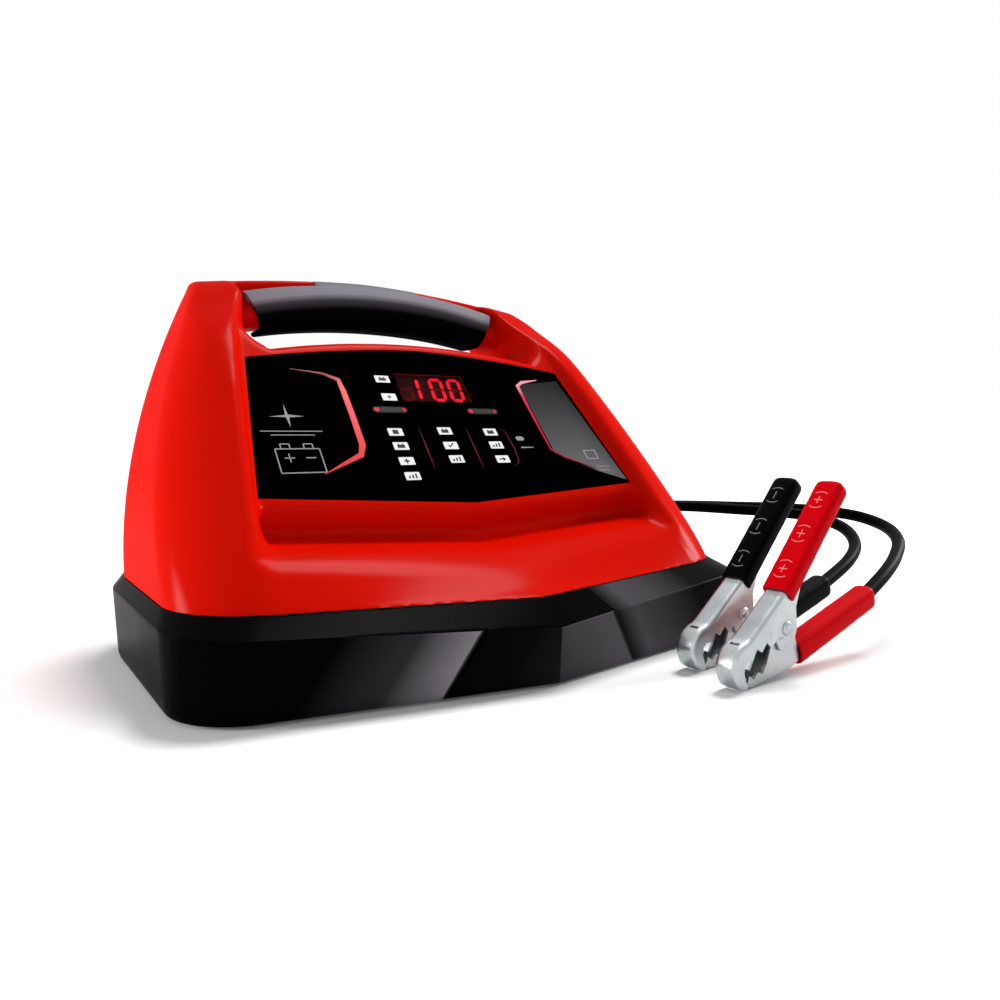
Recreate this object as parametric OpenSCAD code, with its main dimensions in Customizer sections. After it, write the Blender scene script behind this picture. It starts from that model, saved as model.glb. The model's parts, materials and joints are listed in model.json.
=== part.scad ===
// Portable car battery charger: a tapered housing on a black base tray, a soft-grip
// carrying handle, a sloped display panel and two spring clamps on short heavy leads.
// Millimetres, Z up, front faces -Y, origin on the floor under the middle of the body.

/* [Base tray] */
// Half width of the tray at the top of its wall
tray_half_w = 159; // [150:1:168]
// Front face of the tray at its corners (distance in front of the origin)
tray_front = 84; // [80:1:90]
// Rear face of the tray
tray_back = 111; // [108:1:118]
// How far the pointed front stands out past the corners
tray_nose = 27; // [20:1:32]
// Radius of the front corners of the tray
tray_r_front = 36; // [24:1:44]
// Radius of the rear corners of the tray
tray_r_back = 66; // [50:1:70]
// Wall height at the corners
tray_wall_h = 36; // [32:1:38]
// How much lower the wall is at the nose
tray_wall_dip = 9; // [4:1:10]
// Wall thickness of the tray
tray_wall = 3; // [2.5:0.5:4]
// Floor thickness of the tray
tray_floor = 3; // [2.5:0.5:4]
// Slope inset of the rim above the wall
rim_inset = 4.5; // [4:0.5:5]
// Half spacing of the diagonal grooves at the wall top
groove_top_x = 37; // [30:1:44]
// Half spacing of the diagonal grooves at the floor
groove_low_x = 54; // [48:1:62]
// Width of the diagonal grooves
groove_w = 3; // [2:0.5:4]
// Depth of the diagonal grooves
groove_depth = 1.6; // [1:0.2:2]
// Height of the rubber feet under the tray
foot_h = 2; // [1.5:0.5:3]
// Radius of the rubber feet
foot_r = 9; // [7:0.5:11]

/* [Housing] */
// Height of the seam between tray and housing at the corners
seam_h = 42; // [40:1:46]
// How much lower the seam is at the nose
seam_dip = 3.5; // [2:0.5:4]
// Shadow gap between tray and housing
seam_gap = 0.3; // [0.2:0.1:0.4]
// Half width of the housing at the seam
body_half_w = 154; // [148:1:156]
// Half width of the housing at the shoulders
shoulder_half_w = 107; // [102:1:112]
// Overall height at the middle of the handle
body_h = 208; // [200:1:216]
// Drop of the handle line from the middle to the shoulders
crest_drop = 9; // [6:1:12]
// Rear face of the housing
body_back = 105; // [102:1:107]
// How far the pointed skirt stands out at the seam
skirt_nose = 26; // [20:1:28]
// Height of the flared skirt above the seam
skirt_h = 18; // [14:1:20]
// Wall thickness of the housing
shell_wall = 2.8; // [2.4:0.2:3.2]
// Plane where the front and rear shells meet
part_y = 75; // [74:1:78]

/* [Panel] */
// Lean of the panel back from upright
panel_lean = 40.4; // [38:0.2:43]
// Height of the upper corners of the panel
panel_top_z = 152; // [150:1:155]
// Distance of the panel face behind the origin at its upper corners
panel_top_y = 23; // [22:1:26]
// Depth of the panel face below the pillars beside it
panel_depth = 8; // [6:0.5:9]
// Half width of the panel at its upper corners
panel_half_top = 98; // [94:1:100]
// Half width of the panel at its lower corners
panel_half_low = 111; // [106:1:113]
// Slope length of the panel sides
panel_side = 88; // [84:1:90]
// Thickness of the gloss panel sheet
panel_t = 1.2; // [1:0.1:1.5]
// Clearance round the panel sheet
panel_gap = 0.3; // [0.2:0.1:0.5]
// Travel of the push buttons
button_travel = 0.8; // [0.5:0.1:1]
// Length of a push button
button_l = 20; // [18:0.5:22]
// Width of a push button
button_w = 4; // [3.5:0.5:5]
// Length of the display window
window_l = 44; // [40:1:46]
// Width of the display window
window_w = 21; // [19:1:22]

/* [Handle] */
// Front face of the grip
grip_front = 69; // [67:0.5:70]
// Thickness of the grip wall
grip_t = 3.2; // [2.6:0.2:3.6]
// Half length of the grip along its top
grip_half_top = 83; // [78:1:84]
// Half length of the grip along its underside
grip_half_low = 72; // [68:1:76]
// Height of the underside of the grip at its middle
grip_under_z = 176.5; // [174:0.5:178]
// Height of the floor of the hand hole
hand_floor_z = 141; // [139:1:144]
// Clearance between grip and handle bar
grip_gap = 0.25; // [0.2:0.05:0.4]

/* [Cooling fan] */
// Side of the square fan frame
fan_size = 60; // [50:1:64]
// Depth of the fan frame
fan_depth = 20; // [16:1:24]
// Radius of the fan rotor
fan_rotor_r = 26; // [22:0.5:26.5]
// Radius of the fan shaft
fan_shaft_r = 2; // [1.5:0.25:3]
// Radial running clearance of the fan shaft
fan_shaft_gap = 0.05; // [0.03:0.01:0.1]

/* [Leads] */
// Diameter of one output lead
lead_d = 7.5; // [7:0.1:7.6]
// Height where the leads leave the housing
gland_z = 61; // [58:1:64]
// Position of the lead gland along the side wall
gland_y = 40; // [38:1:42]
// Length of the tapered strain relief
relief_l = 32; // [26:1:40]

/* [Clamps] */
// Outside width of a steel clamp half
clamp_w = 11; // [10:0.5:13]
// Thickness of the clamp steel
clamp_t = 1.2; // [1:0.1:1.3]
// Radius of the pivot rivet
rivet_r = 2; // [1.6:0.1:2.4]
// Radial running clearance of the rivet
rivet_gap = 0.08; // [0.05:0.01:0.1]
// Wall of the dipped handle sleeves
sleeve_t = 1.8; // [1.4:0.1:2.2]
// Angle between the lower clamp handle and the jaw's flat underside
handle_rise = 9; // [6:1:12]
// Angle by which a clamp leans up on its nose
clamp_pitch = 6; // [4:1:7]

/* [Hidden] */

$fn = 48;
RED = "#c8160c";
BLACK = "#17181a";
STEEL = "#b9bdbd";
COPPER = "#b5692f";
FIBRE = "#1f5a34";

// ---------- shared outlines ----------

shoulder_z = body_h - crest_drop;
edge_r = 5;
upper_z = 170;
wall_top_nominal = shoulder_z - edge_r;
mid_y = 88;
pillar_share = 0.29;

function lerp(a, b, t) = a + (b - a) * t;

function arc(cx, cy, r, a0, a1, n) =
    [for (i = [0:n]) let (a = lerp(a0, a1, i / n)) [cx + r * cos(a), cy + r * sin(a)]];

// Right half of a plan outline: pointed front, round front corner, round rear corner.
function plan_half(w, front, nose, rf, back, rb, n) =
    let (a = atan2(nose, w), cx = w - rf, cy = front - nose + (rf + cx * sin(a)) / cos(a))
    concat(
        [for (k = [1:3]) let (x = (cx + rf * sin(a)) * k / 4) [x, front - nose + x * tan(a)]],
        arc(cx, cy, rf, a - 90, 0, n),
        arc(w - rb, back - rb, rb, 0, 90, n),
        [for (k = [2:-1:1]) [(w - rb) * k / 3, back]]);

function plan(w, front, nose, rf, back, rb, n = 6) =
    let (half = plan_half(w, front, nose, rf, back, rb, n))
    concat([[0, front - nose]], half, [[0, back]],
        [for (i = [len(half) - 1:-1:0]) [-half[i].x, half[i].y]]);

// Solid through a stack of closed rings of equal count, closed by a fan at each end.
module loft(rings, first, last) {
    n = len(rings[0]);
    m = len(rings);
    points = concat([for (r = rings) each r], [first, last]);
    sides = [for (k = [0:m - 2]) for (i = [0:n - 1])
        let (j = (i + 1) % n, a = k * n + i, b = (k + 1) * n + i, c = (k + 1) * n + j, d = k * n + j)
        each [[a, b, c], [a, c, d]]];
    fans = [for (i = [0:n - 1]) let (j = (i + 1) % n)
        each [[m * n, i, j], [m * n + 1, (m - 1) * n + j, (m - 1) * n + i]]];
    polyhedron(points, concat(sides, fans), convexity = 10);
}

// Solid through flat sections along X, each section counter-clockwise seen from +X.
module loft_x(sections) {
    n = len(sections[0]);
    m = len(sections);
    points = [for (s = sections) each s];
    sides = [for (k = [0:m - 2]) for (i = [0:n - 1])
        let (j = (i + 1) % n, a = k * n + i, b = (k + 1) * n + i, c = (k + 1) * n + j, d = k * n + j)
        each [[a, b, c], [a, c, d]]];
    ends = [[for (i = [0:n - 1]) i], [for (i = [n - 1:-1:0]) (m - 1) * n + i]];
    polyhedron(points, concat(sides, ends), convexity = 10);
}

// ---------- housing surface ----------

function body_w(z) =
    let (s = (z - seam_h) / (shoulder_z - seam_h))
    shoulder_half_w + (body_half_w - shoulder_half_w) * (1 - pow(max(0, s), 1.8));

function body_nose(z) = 2 + (skirt_nose - 2) * pow(max(0, 1 - (z - seam_h) / skirt_h), 1.5);

function panel_face_y(z) = panel_top_y + (z - panel_top_z) * tan(panel_lean);

function body_front(z) =
    panel_face_y(z) - panel_depth + pillar_share * body_nose(z)
    + 0.0065 * pow(max(0, z - panel_top_z), 2);

function crest_z(x) = body_h - crest_drop * pow(min(1, abs(x) / shoulder_half_w), 1.7);

// One level of the housing: an outline shrunk by inset, each point at its own height.
function body_ring(level, inset, lift) =
    let (s = (level - seam_h) / (shoulder_z - seam_h),
         w = body_w(level),
         dip = seam_dip * max(0, 1 - (level - seam_h) / skirt_h),
         rise = (level - upper_z) / (wall_top_nominal - upper_z),
         outline = plan(w - inset, body_front(level) + inset * 1.3, body_nose(level),
             max(3, 38 - 24 * s * s - inset), body_back - inset, max(4, 64 - 48 * s - inset)))
    [for (p = outline) [p.x, p.y, lift + (level <= upper_z
        ? level - dip * (1 - abs(p.x) / w)
        : lerp(upper_z, crest_z(p.x) - edge_r, rise))]];

function crest_ring(share) =
    [for (p = body_ring(wall_top_nominal, edge_r, 0))
        let (x = p.x * share) [x, mid_y + (p.y - mid_y) * share, crest_z(x)]];

function edge_ring(a) =
    [for (p = body_ring(wall_top_nominal, edge_r * (1 - cos(a)), 0))
        [p.x, p.y, crest_z(p.x) - edge_r * (1 - sin(a))]];

module body_outer() {
    levels = [seam_h, 45, 48, 52, 56, 60, 68, 85, 105, 125, 145, 160, upper_z, 178, 186, wall_top_nominal];
    rings = concat(
        [for (z = levels) body_ring(z, 0, z == seam_h ? seam_gap : 0)],
        [for (a = [30:30:90]) edge_ring(a)],
        [for (share = [0.7, 0.4, 0.15]) crest_ring(share)]);
    loft(rings, [0, 0, seam_h - seam_dip + seam_gap], [0, mid_y, body_h]);
}

module body_cavity() {
    t = shell_wall;
    levels = [seam_h, 48, 54, 60, 85, 115, 145, upper_z, 186];
    rings = concat(
        [body_ring(seam_h, t, -1)],
        [for (z = levels) body_ring(z, t, 0)],
        [body_ring(wall_top_nominal, t + 2, -t / 2)]);
    loft(rings, [0, 0, seam_h - seam_dip - 1], [0, mid_y, body_h - edge_r - t]);
}

// ---------- panel frame: local x across, y up the slope, z out of the face ----------

module on_panel() {
    translate([0, panel_top_y, panel_top_z])
        rotate([90 - panel_lean, 0, 0])
            children();
}

panel_vee = 8.4;
panel_arch = 17.5;
shell_floor = 3;

function panel_outline(g) = concat(
    [[0, -panel_side - panel_vee - g], [panel_half_low + g, -panel_side - g], [panel_half_top + g, g]],
    [for (k = [3:-1:-3]) [panel_half_top * k / 4, panel_arch * (1 - pow(abs(k) / 4, 1.6)) + g]],
    [[-panel_half_top - g, g], [-panel_half_low - g, -panel_side - g]]);

// Everything in front of the panel face between the pillars, grown by g for the shell behind it.
module panel_well(g) {
    deep = 60;
    flare = 5 + g;
    top_v = 62;
    top_half = panel_half_top - 6;
    base = g > 0 ? -panel_t - shell_floor : 0;
    on_panel() {
        hull() {
            translate([0, 0, base])
                linear_extrude(0.01)
                    polygon([[-panel_half_low - 1 - g, -panel_side - 1 - g],
                        [0, -panel_side - panel_vee - 1 - g],
                        [panel_half_low + 1 + g, -panel_side - 1 - g],
                        [top_half + 1 + g, top_v], [-top_half - 1 - g, top_v]]);
            translate([0, 0, panel_depth])
                linear_extrude(deep)
                    polygon([[-panel_half_low - flare, -panel_side - flare],
                        [0, -panel_side - panel_vee - flare],
                        [panel_half_low + flare, -panel_side - flare],
                        [top_half + flare, top_v], [-top_half - flare, top_v]]);
        }
        if (g > 0)
            translate([0, 0, base])
                linear_extrude(panel_t + shell_floor)
                    polygon(panel_outline(g));
        if (g == 0)
            translate([0, 0, -panel_t])
                linear_extrude(panel_t + 1)
                    polygon(panel_outline(panel_gap));
    }
}

// ---------- recess under the panel ----------

recess_half = 112;
lip_z_mid = 70;
lip_z_end = 82;
recess_floor_mid = 58;
recess_floor_end = 65;
recess_depth = 13;

function panel_low_z(x) =
    panel_top_z - (panel_side + panel_vee * max(0, 1 - abs(x) / panel_half_low)) * cos(panel_lean);

function recess_section(x, g) =
    let (share = min(1, abs(x) / recess_half),
         zb = panel_low_z(x),
         yb = panel_face_y(zb),
         zl = min(zb - 1, lerp(lip_z_mid, lip_z_end, share * share)),
         zf = lerp(recess_floor_mid, recess_floor_end, share))
    [[x, -140, zb + g], [x, -140, zf - g], [x, body_front(zf), zf - g],
     [x, yb + recess_depth - 8, zf + 1 - g], [x, yb + recess_depth + g, zf + 4 - g],
     [x, yb + recess_depth - 1 + g, zl - 1 + g], [x, yb - 1.5 + 1.3 * g, zl + g], [x, yb + 1.3 * g, zb + g]];

module recess(g) {
    half = recess_half + g;
    loft_x([for (k = [-4:4]) recess_section(half * k / 4, g)]);
}

// ---------- hand hole and handle bar ----------

sill_z = 166;
sill_drop = 7;
hole_half = 84;
bar_front = grip_front + grip_t + grip_gap;
spine_y = 91.5;
pocket_floor = 158;
grip_top_mid = 203.8;
grip_top_drop = 8.8;
far = 140;
high = 230;

function grip_under(x) = grip_under_z - 5.5 * pow(x / 72, 2);
function grip_top(x) = grip_top_mid - grip_top_drop * pow(x / 83, 2);
function bar_under(x) = grip_under(x) + grip_t + grip_gap;
function bar_top(x) = grip_top(x) - grip_t - grip_gap;

function hand_section(x, g) =
    let (zc = sill_z - sill_drop * pow(x / 80, 2), yc = panel_face_y(zc), zb = bar_under(x) + g,
         zt = bar_top(x) - g, y0 = bar_front + g, hf = hand_floor_z - g)
    [[x, yc - 2, high], [x, yc - 2, zc - g], [x, yc + 6 - g, zc - 1.5 - g], [x, yc + 13 - g, zc - 9 - g],
     [x, yc + 18 - g, hf + 4], [x, yc + 24 - g, hf], [x, far, hf], [x, far, zb],
     [x, y0 + 5, zb], [x, y0, zb + 5], [x, y0, zt - 7], [x, y0 + 7, zt],
     [x, spine_y + g, zt], [x, spine_y + g, high]];

module hand_well(g) {
    half = hole_half + g + 1;
    loft_x([for (k = [-4:4]) hand_section(half * k / 4, g)]);
    translate([0, 0, pocket_floor - g])
        linear_extrude(high - pocket_floor)
            polygon([[-96 - g, 20], [-95 - g, 45 + g], [-hole_half - g, bar_front + g - 0.5],
                [hole_half + g, bar_front + g - 0.5], [95 + g, 45 + g], [96 + g, 20]]);
}

saddle_half = 34;
saddle_t = 3;

// Seat of the grip's middle, which wraps over the top of the spine.
module saddle_seat() {
    translate([-saddle_half - grip_gap, spine_y - 1, crest_z(saddle_half) - saddle_t - grip_gap])
        cube([2 * (saddle_half + grip_gap), 40, 40]);
}

// ---------- fasteners ----------

screw_r = 1.9;
screw_gap = 0.1;
head_r = 3.6;
head_h = 2.2;

// Screw with its shoulder at the origin and its shaft along +Z.
module screw(l) {
    cylinder(r = screw_r, h = l);
    translate([0, 0, -head_h])
        cylinder(r = head_r, h = head_h);
}

module screw_bore(l) {
    translate([0, 0, -0.01])
        cylinder(r = screw_r + screw_gap, h = l + 0.02);
}

// ---------- base tray ----------

foot_out = 1;
tray_low = foot_out;
tray_top = tray_low + tray_floor;
low_inset = 1.5;
seat_h = 9;
head_pocket = 5;
front_posts = [[132, -40], [141, 8]];
rear_post = [104, 88];
post_r = 5;
foot_spots = [[112, -62], [98, 64]];

function tray_ring(w, front, nose, rf, back, rb, z, dip) =
    [for (p = plan(w, front, nose, rf, back, rb)) [p.x, p.y, z - dip * (1 - abs(p.x) / w)]];

function tray_level(inset, z, dip = 0) =
    tray_ring(tray_half_w - inset, tray_front_y + inset, tray_nose, tray_r_front - inset,
        tray_back - inset, tray_r_back - inset, z, dip);

tray_front_y = -tray_front;
rim_half_w = tray_half_w - rim_inset;
rim_front = body_front(seam_h) - 0.5;
rim_back = tray_back - rim_inset;

module tray_groove() {
    slant = atan2(groove_low_x - groove_top_x, tray_wall_h - tray_wall_dip);
    turn = atan2(tray_nose, tray_half_w);
    top_z = tray_wall_h - tray_wall_dip * (1 - groove_top_x / tray_half_w);
    lean = atan2(low_inset, top_z);
    translate([groove_top_x, tray_front_y - tray_nose + groove_top_x * tan(turn), top_z])
        rotate([0, 0, turn])
            rotate([lean, 0, 0])
                rotate([0, -slant, 0])
                    translate([-groove_w / 2, -5, -60])
                        cube([groove_w, 5 + groove_depth, 70]);
}

module tray_post(p) {
    translate([p.x, p.y, tray_low])
        cylinder(r = 6.5, h = seat_h - tray_low);
}

module tray_post_bore(p) {
    translate([p.x, p.y, -1])
        cylinder(r = head_r + 0.6, h = head_pocket + 1);
    translate([p.x, p.y, 0])
        screw_bore(seat_h);
}

board_low = tray_top + 10;
board_t = 1.6;
board_x = [-28, 118];
board_y = [-66, 36];
board_holes = [[-22, -60], [112, -50], [-22, 30], [112, 30]];
board_screw_l = 7;

core_at = [-85, 35];
core_low = tray_top + 4;
core_w = 76;
core_h = 64;
core_t = 36;
core_lug = 98;
core_lug_t = 2.5;
core_screw_l = 6;
core_holes = [[-43, -10], [43, -10], [-43, 10], [43, 10]];

sink_x = [20, 96];
sink_y = [40, 78];
sink_low = tray_top + 4;
sink_h = 50;

module tray_stud(p, top, depth) {
    translate([p.x, p.y, 0])
        difference() {
            translate([0, 0, tray_top - 0.5])
                cylinder(r = 4.5, h = top - tray_top + 0.5);
            translate([0, 0, top - depth])
                screw_bore(depth);
        }
}

module base_tray() {
    wall_t = tray_wall;
    difference() {
        union() {
            difference() {
                loft([tray_level(3, tray_low), tray_level(low_inset + 0.6, tray_low + 0.9),
                    tray_level(low_inset, tray_low + 3),
                    tray_level(0, tray_wall_h, tray_wall_dip),
                    tray_ring(rim_half_w, rim_front, skirt_nose, 38, rim_back, 62, seam_h, seam_dip)],
                    [0, 0, tray_low], [0, 0, seam_h - seam_dip]);
                loft([tray_level(low_inset + wall_t + 2, tray_top),
                    tray_level(low_inset + wall_t, tray_top + 3),
                    tray_level(wall_t + 1, tray_wall_h - tray_wall_dip - 4),
                    tray_ring(rim_half_w - wall_t, rim_front + wall_t * 1.3, skirt_nose,
                        38 - wall_t, rim_back - wall_t, 62 - wall_t, seam_h + 6, 0)],
                    [0, 0, tray_top], [0, 0, seam_h + 6]);
            }
            for (s = [0, 1])
                mirror([s, 0, 0])
                    for (p = concat(front_posts, [rear_post]))
                        tray_post(p);
            for (y = sink_y)
                translate([sink_x[0], y - (y == sink_y[0] ? 0 : 4), tray_low])
                    cube([sink_x[1] - sink_x[0], 4, sink_low - tray_low]);
        }
        for (s = [0, 1])
            mirror([s, 0, 0]) {
                tray_groove();
                for (p = concat(front_posts, [rear_post]))
                    tray_post_bore(p);
                for (p = foot_spots)
                    translate([p.x, p.y, -1])
                        cylinder(r = foot_r + 0.1, h = 1 + foot_h);
            }
    }
    for (p = board_holes)
        tray_stud(p, board_low, board_screw_l);
    for (p = core_holes)
        tray_stud([core_at.x + p.x, core_at.y + p.y], core_low, core_screw_l - 1);
}

module rubber_feet() {
    for (s = [0, 1])
        mirror([s, 0, 0])
            for (p = foot_spots)
                translate([p.x, p.y, 0])
                    cylinder(r = foot_r, h = foot_h);
}

// ---------- housing ----------

shoulder_x = 97;
shoulder_z0 = 184;
shoulder_front = 58;
shoulder_seat = 98;
shoulder_screw_l = 36;
vent_n = 9;
vent_pitch = 6;
vent_w = 3;
vent_l = 44;
fan_at = [60, 90];
fan_back = body_back - shell_wall;
fan_hole = fan_size / 2 - 5;
lead_gap = lead_d + 0.7;
gland_r = lead_d / 2 + 2.2;
gland_wall = body_w(gland_z);
mains_x = -70;
mains_z = 58;
mains_r = 6;
mains_bore_r = 3.6;

module oval(r, l) {
    linear_extrude(l) {
        translate([-lead_gap / 2, 0])
            circle(r);
        translate([lead_gap / 2, 0])
            circle(r);
        square([lead_gap, 2 * r], center = true);
    }
}

// Frame with Z pointing out of the side wall and X along the wall.
module at_gland(out) {
    translate([gland_wall + out, gland_y, gland_z])
        rotate([0, 90, 0])
            rotate([0, 0, 90])
                children();
}

module at_mains(out) {
    translate([mains_x, body_back + out, mains_z])
        rotate([-90, 0, 0])
            children();
}

module housing_posts() {
    intersection() {
        union() {
            body_outer();
            translate([0, 0, tray_top])
                linear_extrude(seam_h)
                    polygon(plan(body_half_w - 8, body_front(seam_h) + 8, skirt_nose, 32,
                        body_back - 6, 58));
        }
        for (s = [0, 1])
            mirror([s, 0, 0]) {
                for (p = concat(front_posts, [rear_post])) {
                    translate([p.x, p.y, seat_h])
                        cylinder(r = post_r, h = 74);
                    translate([p.x, p.y - 1.5, 20])
                        cube([40, 3, 60]);
                }
                translate([shoulder_x, body_back - 1, shoulder_z0])
                    rotate([90, 0, 0])
                        cylinder(r = 4.5, h = body_back - 1 - shoulder_front);
                translate([shoulder_x, shoulder_front, shoulder_z0 - 1])
                    cube([30, body_back - 1 - shoulder_front, 2]);
            }
    }
}

switch_y = -34.5;
button_x = 29;
window_mid = [4, -16.5];

module panel_posts() {
    on_panel()
        for (p = control_holes)
            translate([p.x, p.y, control_top])
                cylinder(r = 4, h = -panel_t - 0.5 - control_top);
}

module panel_openings() {
    on_panel()
        translate([0, 0, -8]) {
            linear_extrude(10) {
                translate([window_mid.x, window_mid.y])
                    square([window_l + 0.3, window_w + 0.3], center = true);
                for (s = [-1, 1])
                    translate([s * button_x, switch_y])
                        pill(button_l + 0.6, button_w + 0.6);
            }
        }
}

// The bare form of the housing between two planes across Y, before any hole is drilled.
module housing_form(y0, y1) {
    t = shell_wall;
    resize([0, 0, 0])
        intersection() {
            difference() {
                union() {
                    difference() {
                        body_outer();
                        difference() {
                            body_cavity();
                            panel_well(t);
                            recess(t);
                            hand_well(t);
                        }
                    }
                    housing_posts($fn = 20);
                    panel_posts($fn = 20);
                }
                panel_well(0);
                recess(0);
                hand_well(0);
                saddle_seat();
            }
            translate([-200, y0, 0])
                cube([400, y1 - y0, 300]);
        }
}

module post_bores() {
    for (s = [0, 1])
        mirror([s, 0, 0]) {
            for (p = concat(front_posts, [rear_post]))
                translate([p.x, p.y, seat_h])
                    screw_bore(case_screw_l - seat_h + head_pocket);
            translate([shoulder_x, shoulder_seat, shoulder_z0])
                rotate([90, 0, 0])
                    screw_bore(shoulder_screw_l);
        }
}

module front_shell() {
    difference() {
        housing_form(-200, part_y - 0.05);
        post_bores();
        panel_openings();
        on_panel()
            for (p = control_holes)
                translate([p.x, p.y, control_top])
                    screw_bore(control_screw_l - control_board_t);
        at_gland(-8)
            oval(gland_r + 0.1, 16);
    }
}

module rear_shell() {
    difference() {
        housing_form(part_y + 0.05, 200);
        post_bores();
        for (s = [-1, 1])
            translate([s * shoulder_x, shoulder_seat, shoulder_z0])
                rotate([-90, 0, 0])
                    cylinder(r = head_r + 0.4, h = 20);
        at_mains(-8)
            cylinder(r = mains_r + 0.1, h = 16);
        for (k = [0:vent_n - 1])
            translate([fan_at.x - vent_l / 2, body_back - 8,
                fan_at.y + (k - (vent_n - 1) / 2) * vent_pitch - vent_w / 2])
                cube([vent_l, 16, vent_w]);
        for (s = [-1, 1])
            for (u = [-1, 1])
                translate([fan_at.x + s * fan_hole, fan_back, fan_at.y + u * fan_hole])
                    rotate([-90, 0, 0])
                        screw_bore(2);
    }
}

case_screw_l = 26;
control_board_t = 1.6;
control_top = -14;
control_holes = [[-54, -15], [54, -15], [-54, -74], [54, -74]];
control_screw_l = 7;

module case_screws() {
    for (s = [0, 1])
        mirror([s, 0, 0]) {
            for (p = concat(front_posts, [rear_post]))
                translate([p.x, p.y, head_pocket])
                    screw(case_screw_l);
            translate([shoulder_x, shoulder_seat, shoulder_z0])
                rotate([90, 0, 0])
                    screw(shoulder_screw_l - 1);
        }
}

// ---------- handle grip ----------

grip_back = 96;

function grip_section(x) =
    let (zt = grip_top(x), zu = grip_under(x), y0 = grip_front, yi = grip_front + grip_t,
         ti = zt - grip_t, ui = zu + grip_t)
    [[x, spine_y - grip_gap, zt], [x, y0 + 9, zt], [x, y0 + 3, zt - 2.5], [x, y0, zt - 9], [x, y0, zu + 7],
     [x, y0 + 2, zu + 2], [x, y0 + 7, zu], [x, grip_back, zu], [x, grip_back, ui], [x, yi + 5, ui],
     [x, yi, ui + 5], [x, yi, ti - 7], [x, yi + 7, ti], [x, spine_y - grip_gap, ti]];

module handle_grip() {
    tilt = atan2(grip_half_top - grip_half_low, 24);
    difference() {
        loft_x([for (k = [-7:7]) grip_section(hole_half * k / 7)]);
        for (s = [0, 1])
            mirror([s, 0, 0])
                translate([grip_half_low, 0, grip_under(grip_half_low)])
                    rotate([0, tilt, 0])
                        translate([0, 0, -100])
                            cube([60, 200, 200]);
    }
    intersection() {
        body_outer();
        translate([-saddle_half, spine_y - 1 + grip_gap, crest_z(saddle_half) - saddle_t])
            cube([2 * saddle_half, 40, 40]);
    }
}

// ---------- display panel ----------

icon_l = 8.5;
icon_w = 5;
icon_spots = [[-26, -11.4], [-26, -24.6], [-30.5, -49.3], [-30.5, -58.8], [-30.5, -68.7], [-30.5, -78.4],
    [-0.7, -48.5], [-0.7, -58.7], [-0.7, -68], [28.5, -49.2], [28.5, -58.6], [28.5, -68.6]];

module pill(l, w) {
    square([l - w, w], center = true);
    for (s = [-1, 1])
        translate([s * (l - w) / 2, 0])
            circle(w / 2);
}

module panel_sheet() {
    on_panel()
        translate([0, 0, -panel_t])
            linear_extrude(panel_t)
                difference() {
                    polygon(panel_outline(0));
                    translate([window_mid.x, window_mid.y])
                        square([window_l + 0.3, window_w + 0.3], center = true);
                    for (s = [-1, 1])
                        translate([s * button_x, switch_y])
                            pill(button_l + 0.6, button_w + 0.6);
                    for (p = icon_spots)
                        translate([p.x, p.y])
                            square([icon_l + 0.2, icon_w + 0.2], center = true);
                }
}

module indicator_lenses() {
    on_panel()
        for (p = icon_spots)
            translate([p.x - icon_l / 2, p.y - icon_w / 2, -panel_t])
                cube([icon_l, icon_w, panel_t + 0.05]);
}

module panel_accents() {
    h = 0.4;
    on_panel() {
        linear_extrude(h) {
            polygon([[-77, -7], [-49.7, -12.6], [-50.7, -63.4], [-76.4, -75.8], [-54.5, -62], [-53, -15]]);
            polygon([[78.2, -7.7], [62.4, -11.4], [63.2, -64.2], [88.3, -75.9], [66.4, -62.6], [65, -14.4]]);
        }
        for (x = [-16, 13.5])
            translate([x - 0.4, -74, 0])
                cube([0.8, 26, h]);
    }
}

window_rim = 3;

module display_window() {
    on_panel()
        translate([window_mid.x, window_mid.y, 0]) {
            translate([-window_l / 2, -window_w / 2, -4.4])
                cube([window_l, window_w, 4.3]);
            difference() {
                translate([-window_l / 2 - window_rim, -window_w / 2 - window_rim, -5.2])
                    cube([window_l + 2 * window_rim, window_w + 2 * window_rim, 1]);
                translate([-window_l / 2 + 1, -window_w / 2 + 1, -6])
                    cube([window_l - 2, window_w - 2, 1.6]);
            }
        }
}

module display_module() {
    on_panel()
        translate([window_mid.x - window_l / 2 - window_rim, window_mid.y - window_w / 2 - window_rim,
            control_top])
            cube([window_l + 2 * window_rim, window_w + 2 * window_rim, -5.2 - control_top]);
}

digit_w = 7.5;
digit_h = 14;
digit_pitch = 10.3;
digit_shift = 3.4;
bar_w = 1.5;
digit_segments = [[1, 2], [0, 1, 2, 3, 4, 5], [0, 1, 2, 3, 4, 5]];

// One lit bar of a seven-bar digit, counted clockwise from the top.
module digit_bar(k) {
    side = (digit_w - bar_w) / 2;
    x = k == 1 || k == 2 ? side : -side;
    y = k == 1 || k == 5 ? digit_h / 4 : -digit_h / 4;
    across = k == 0 || k == 3;
    translate([across ? 0 : x, across ? (k == 0 ? 1 : -1) * (digit_h - bar_w) / 2 : y, 0.2])
        cube([across ? digit_w - 2 * bar_w - 0.6 : bar_w,
            across ? bar_w : (digit_h - bar_w) / 2 - 0.4, 0.4], center = true);
}

module display_digits() {
    on_panel()
        for (i = [0:2])
            translate([window_mid.x + digit_shift + (i - 1) * digit_pitch, window_mid.y, -5.2])
                for (k = digit_segments[i])
                    digit_bar(k);
}

module push_button(s) {
    on_panel()
        translate([s * button_x, switch_y, 0]) {
            translate([0, 0, -5.2])
                linear_extrude(6.1)
                    pill(button_l, button_w);
            translate([-button_l / 2 - 1.5, -button_w / 2 - 1.5, -5.2])
                cube([button_l + 3, button_w + 3, 0.8]);
            translate([-2.5, -1.5, -10 + 0.1 + button_travel])
                cube([5, 3, 5 - button_travel]);
        }
}

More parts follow.
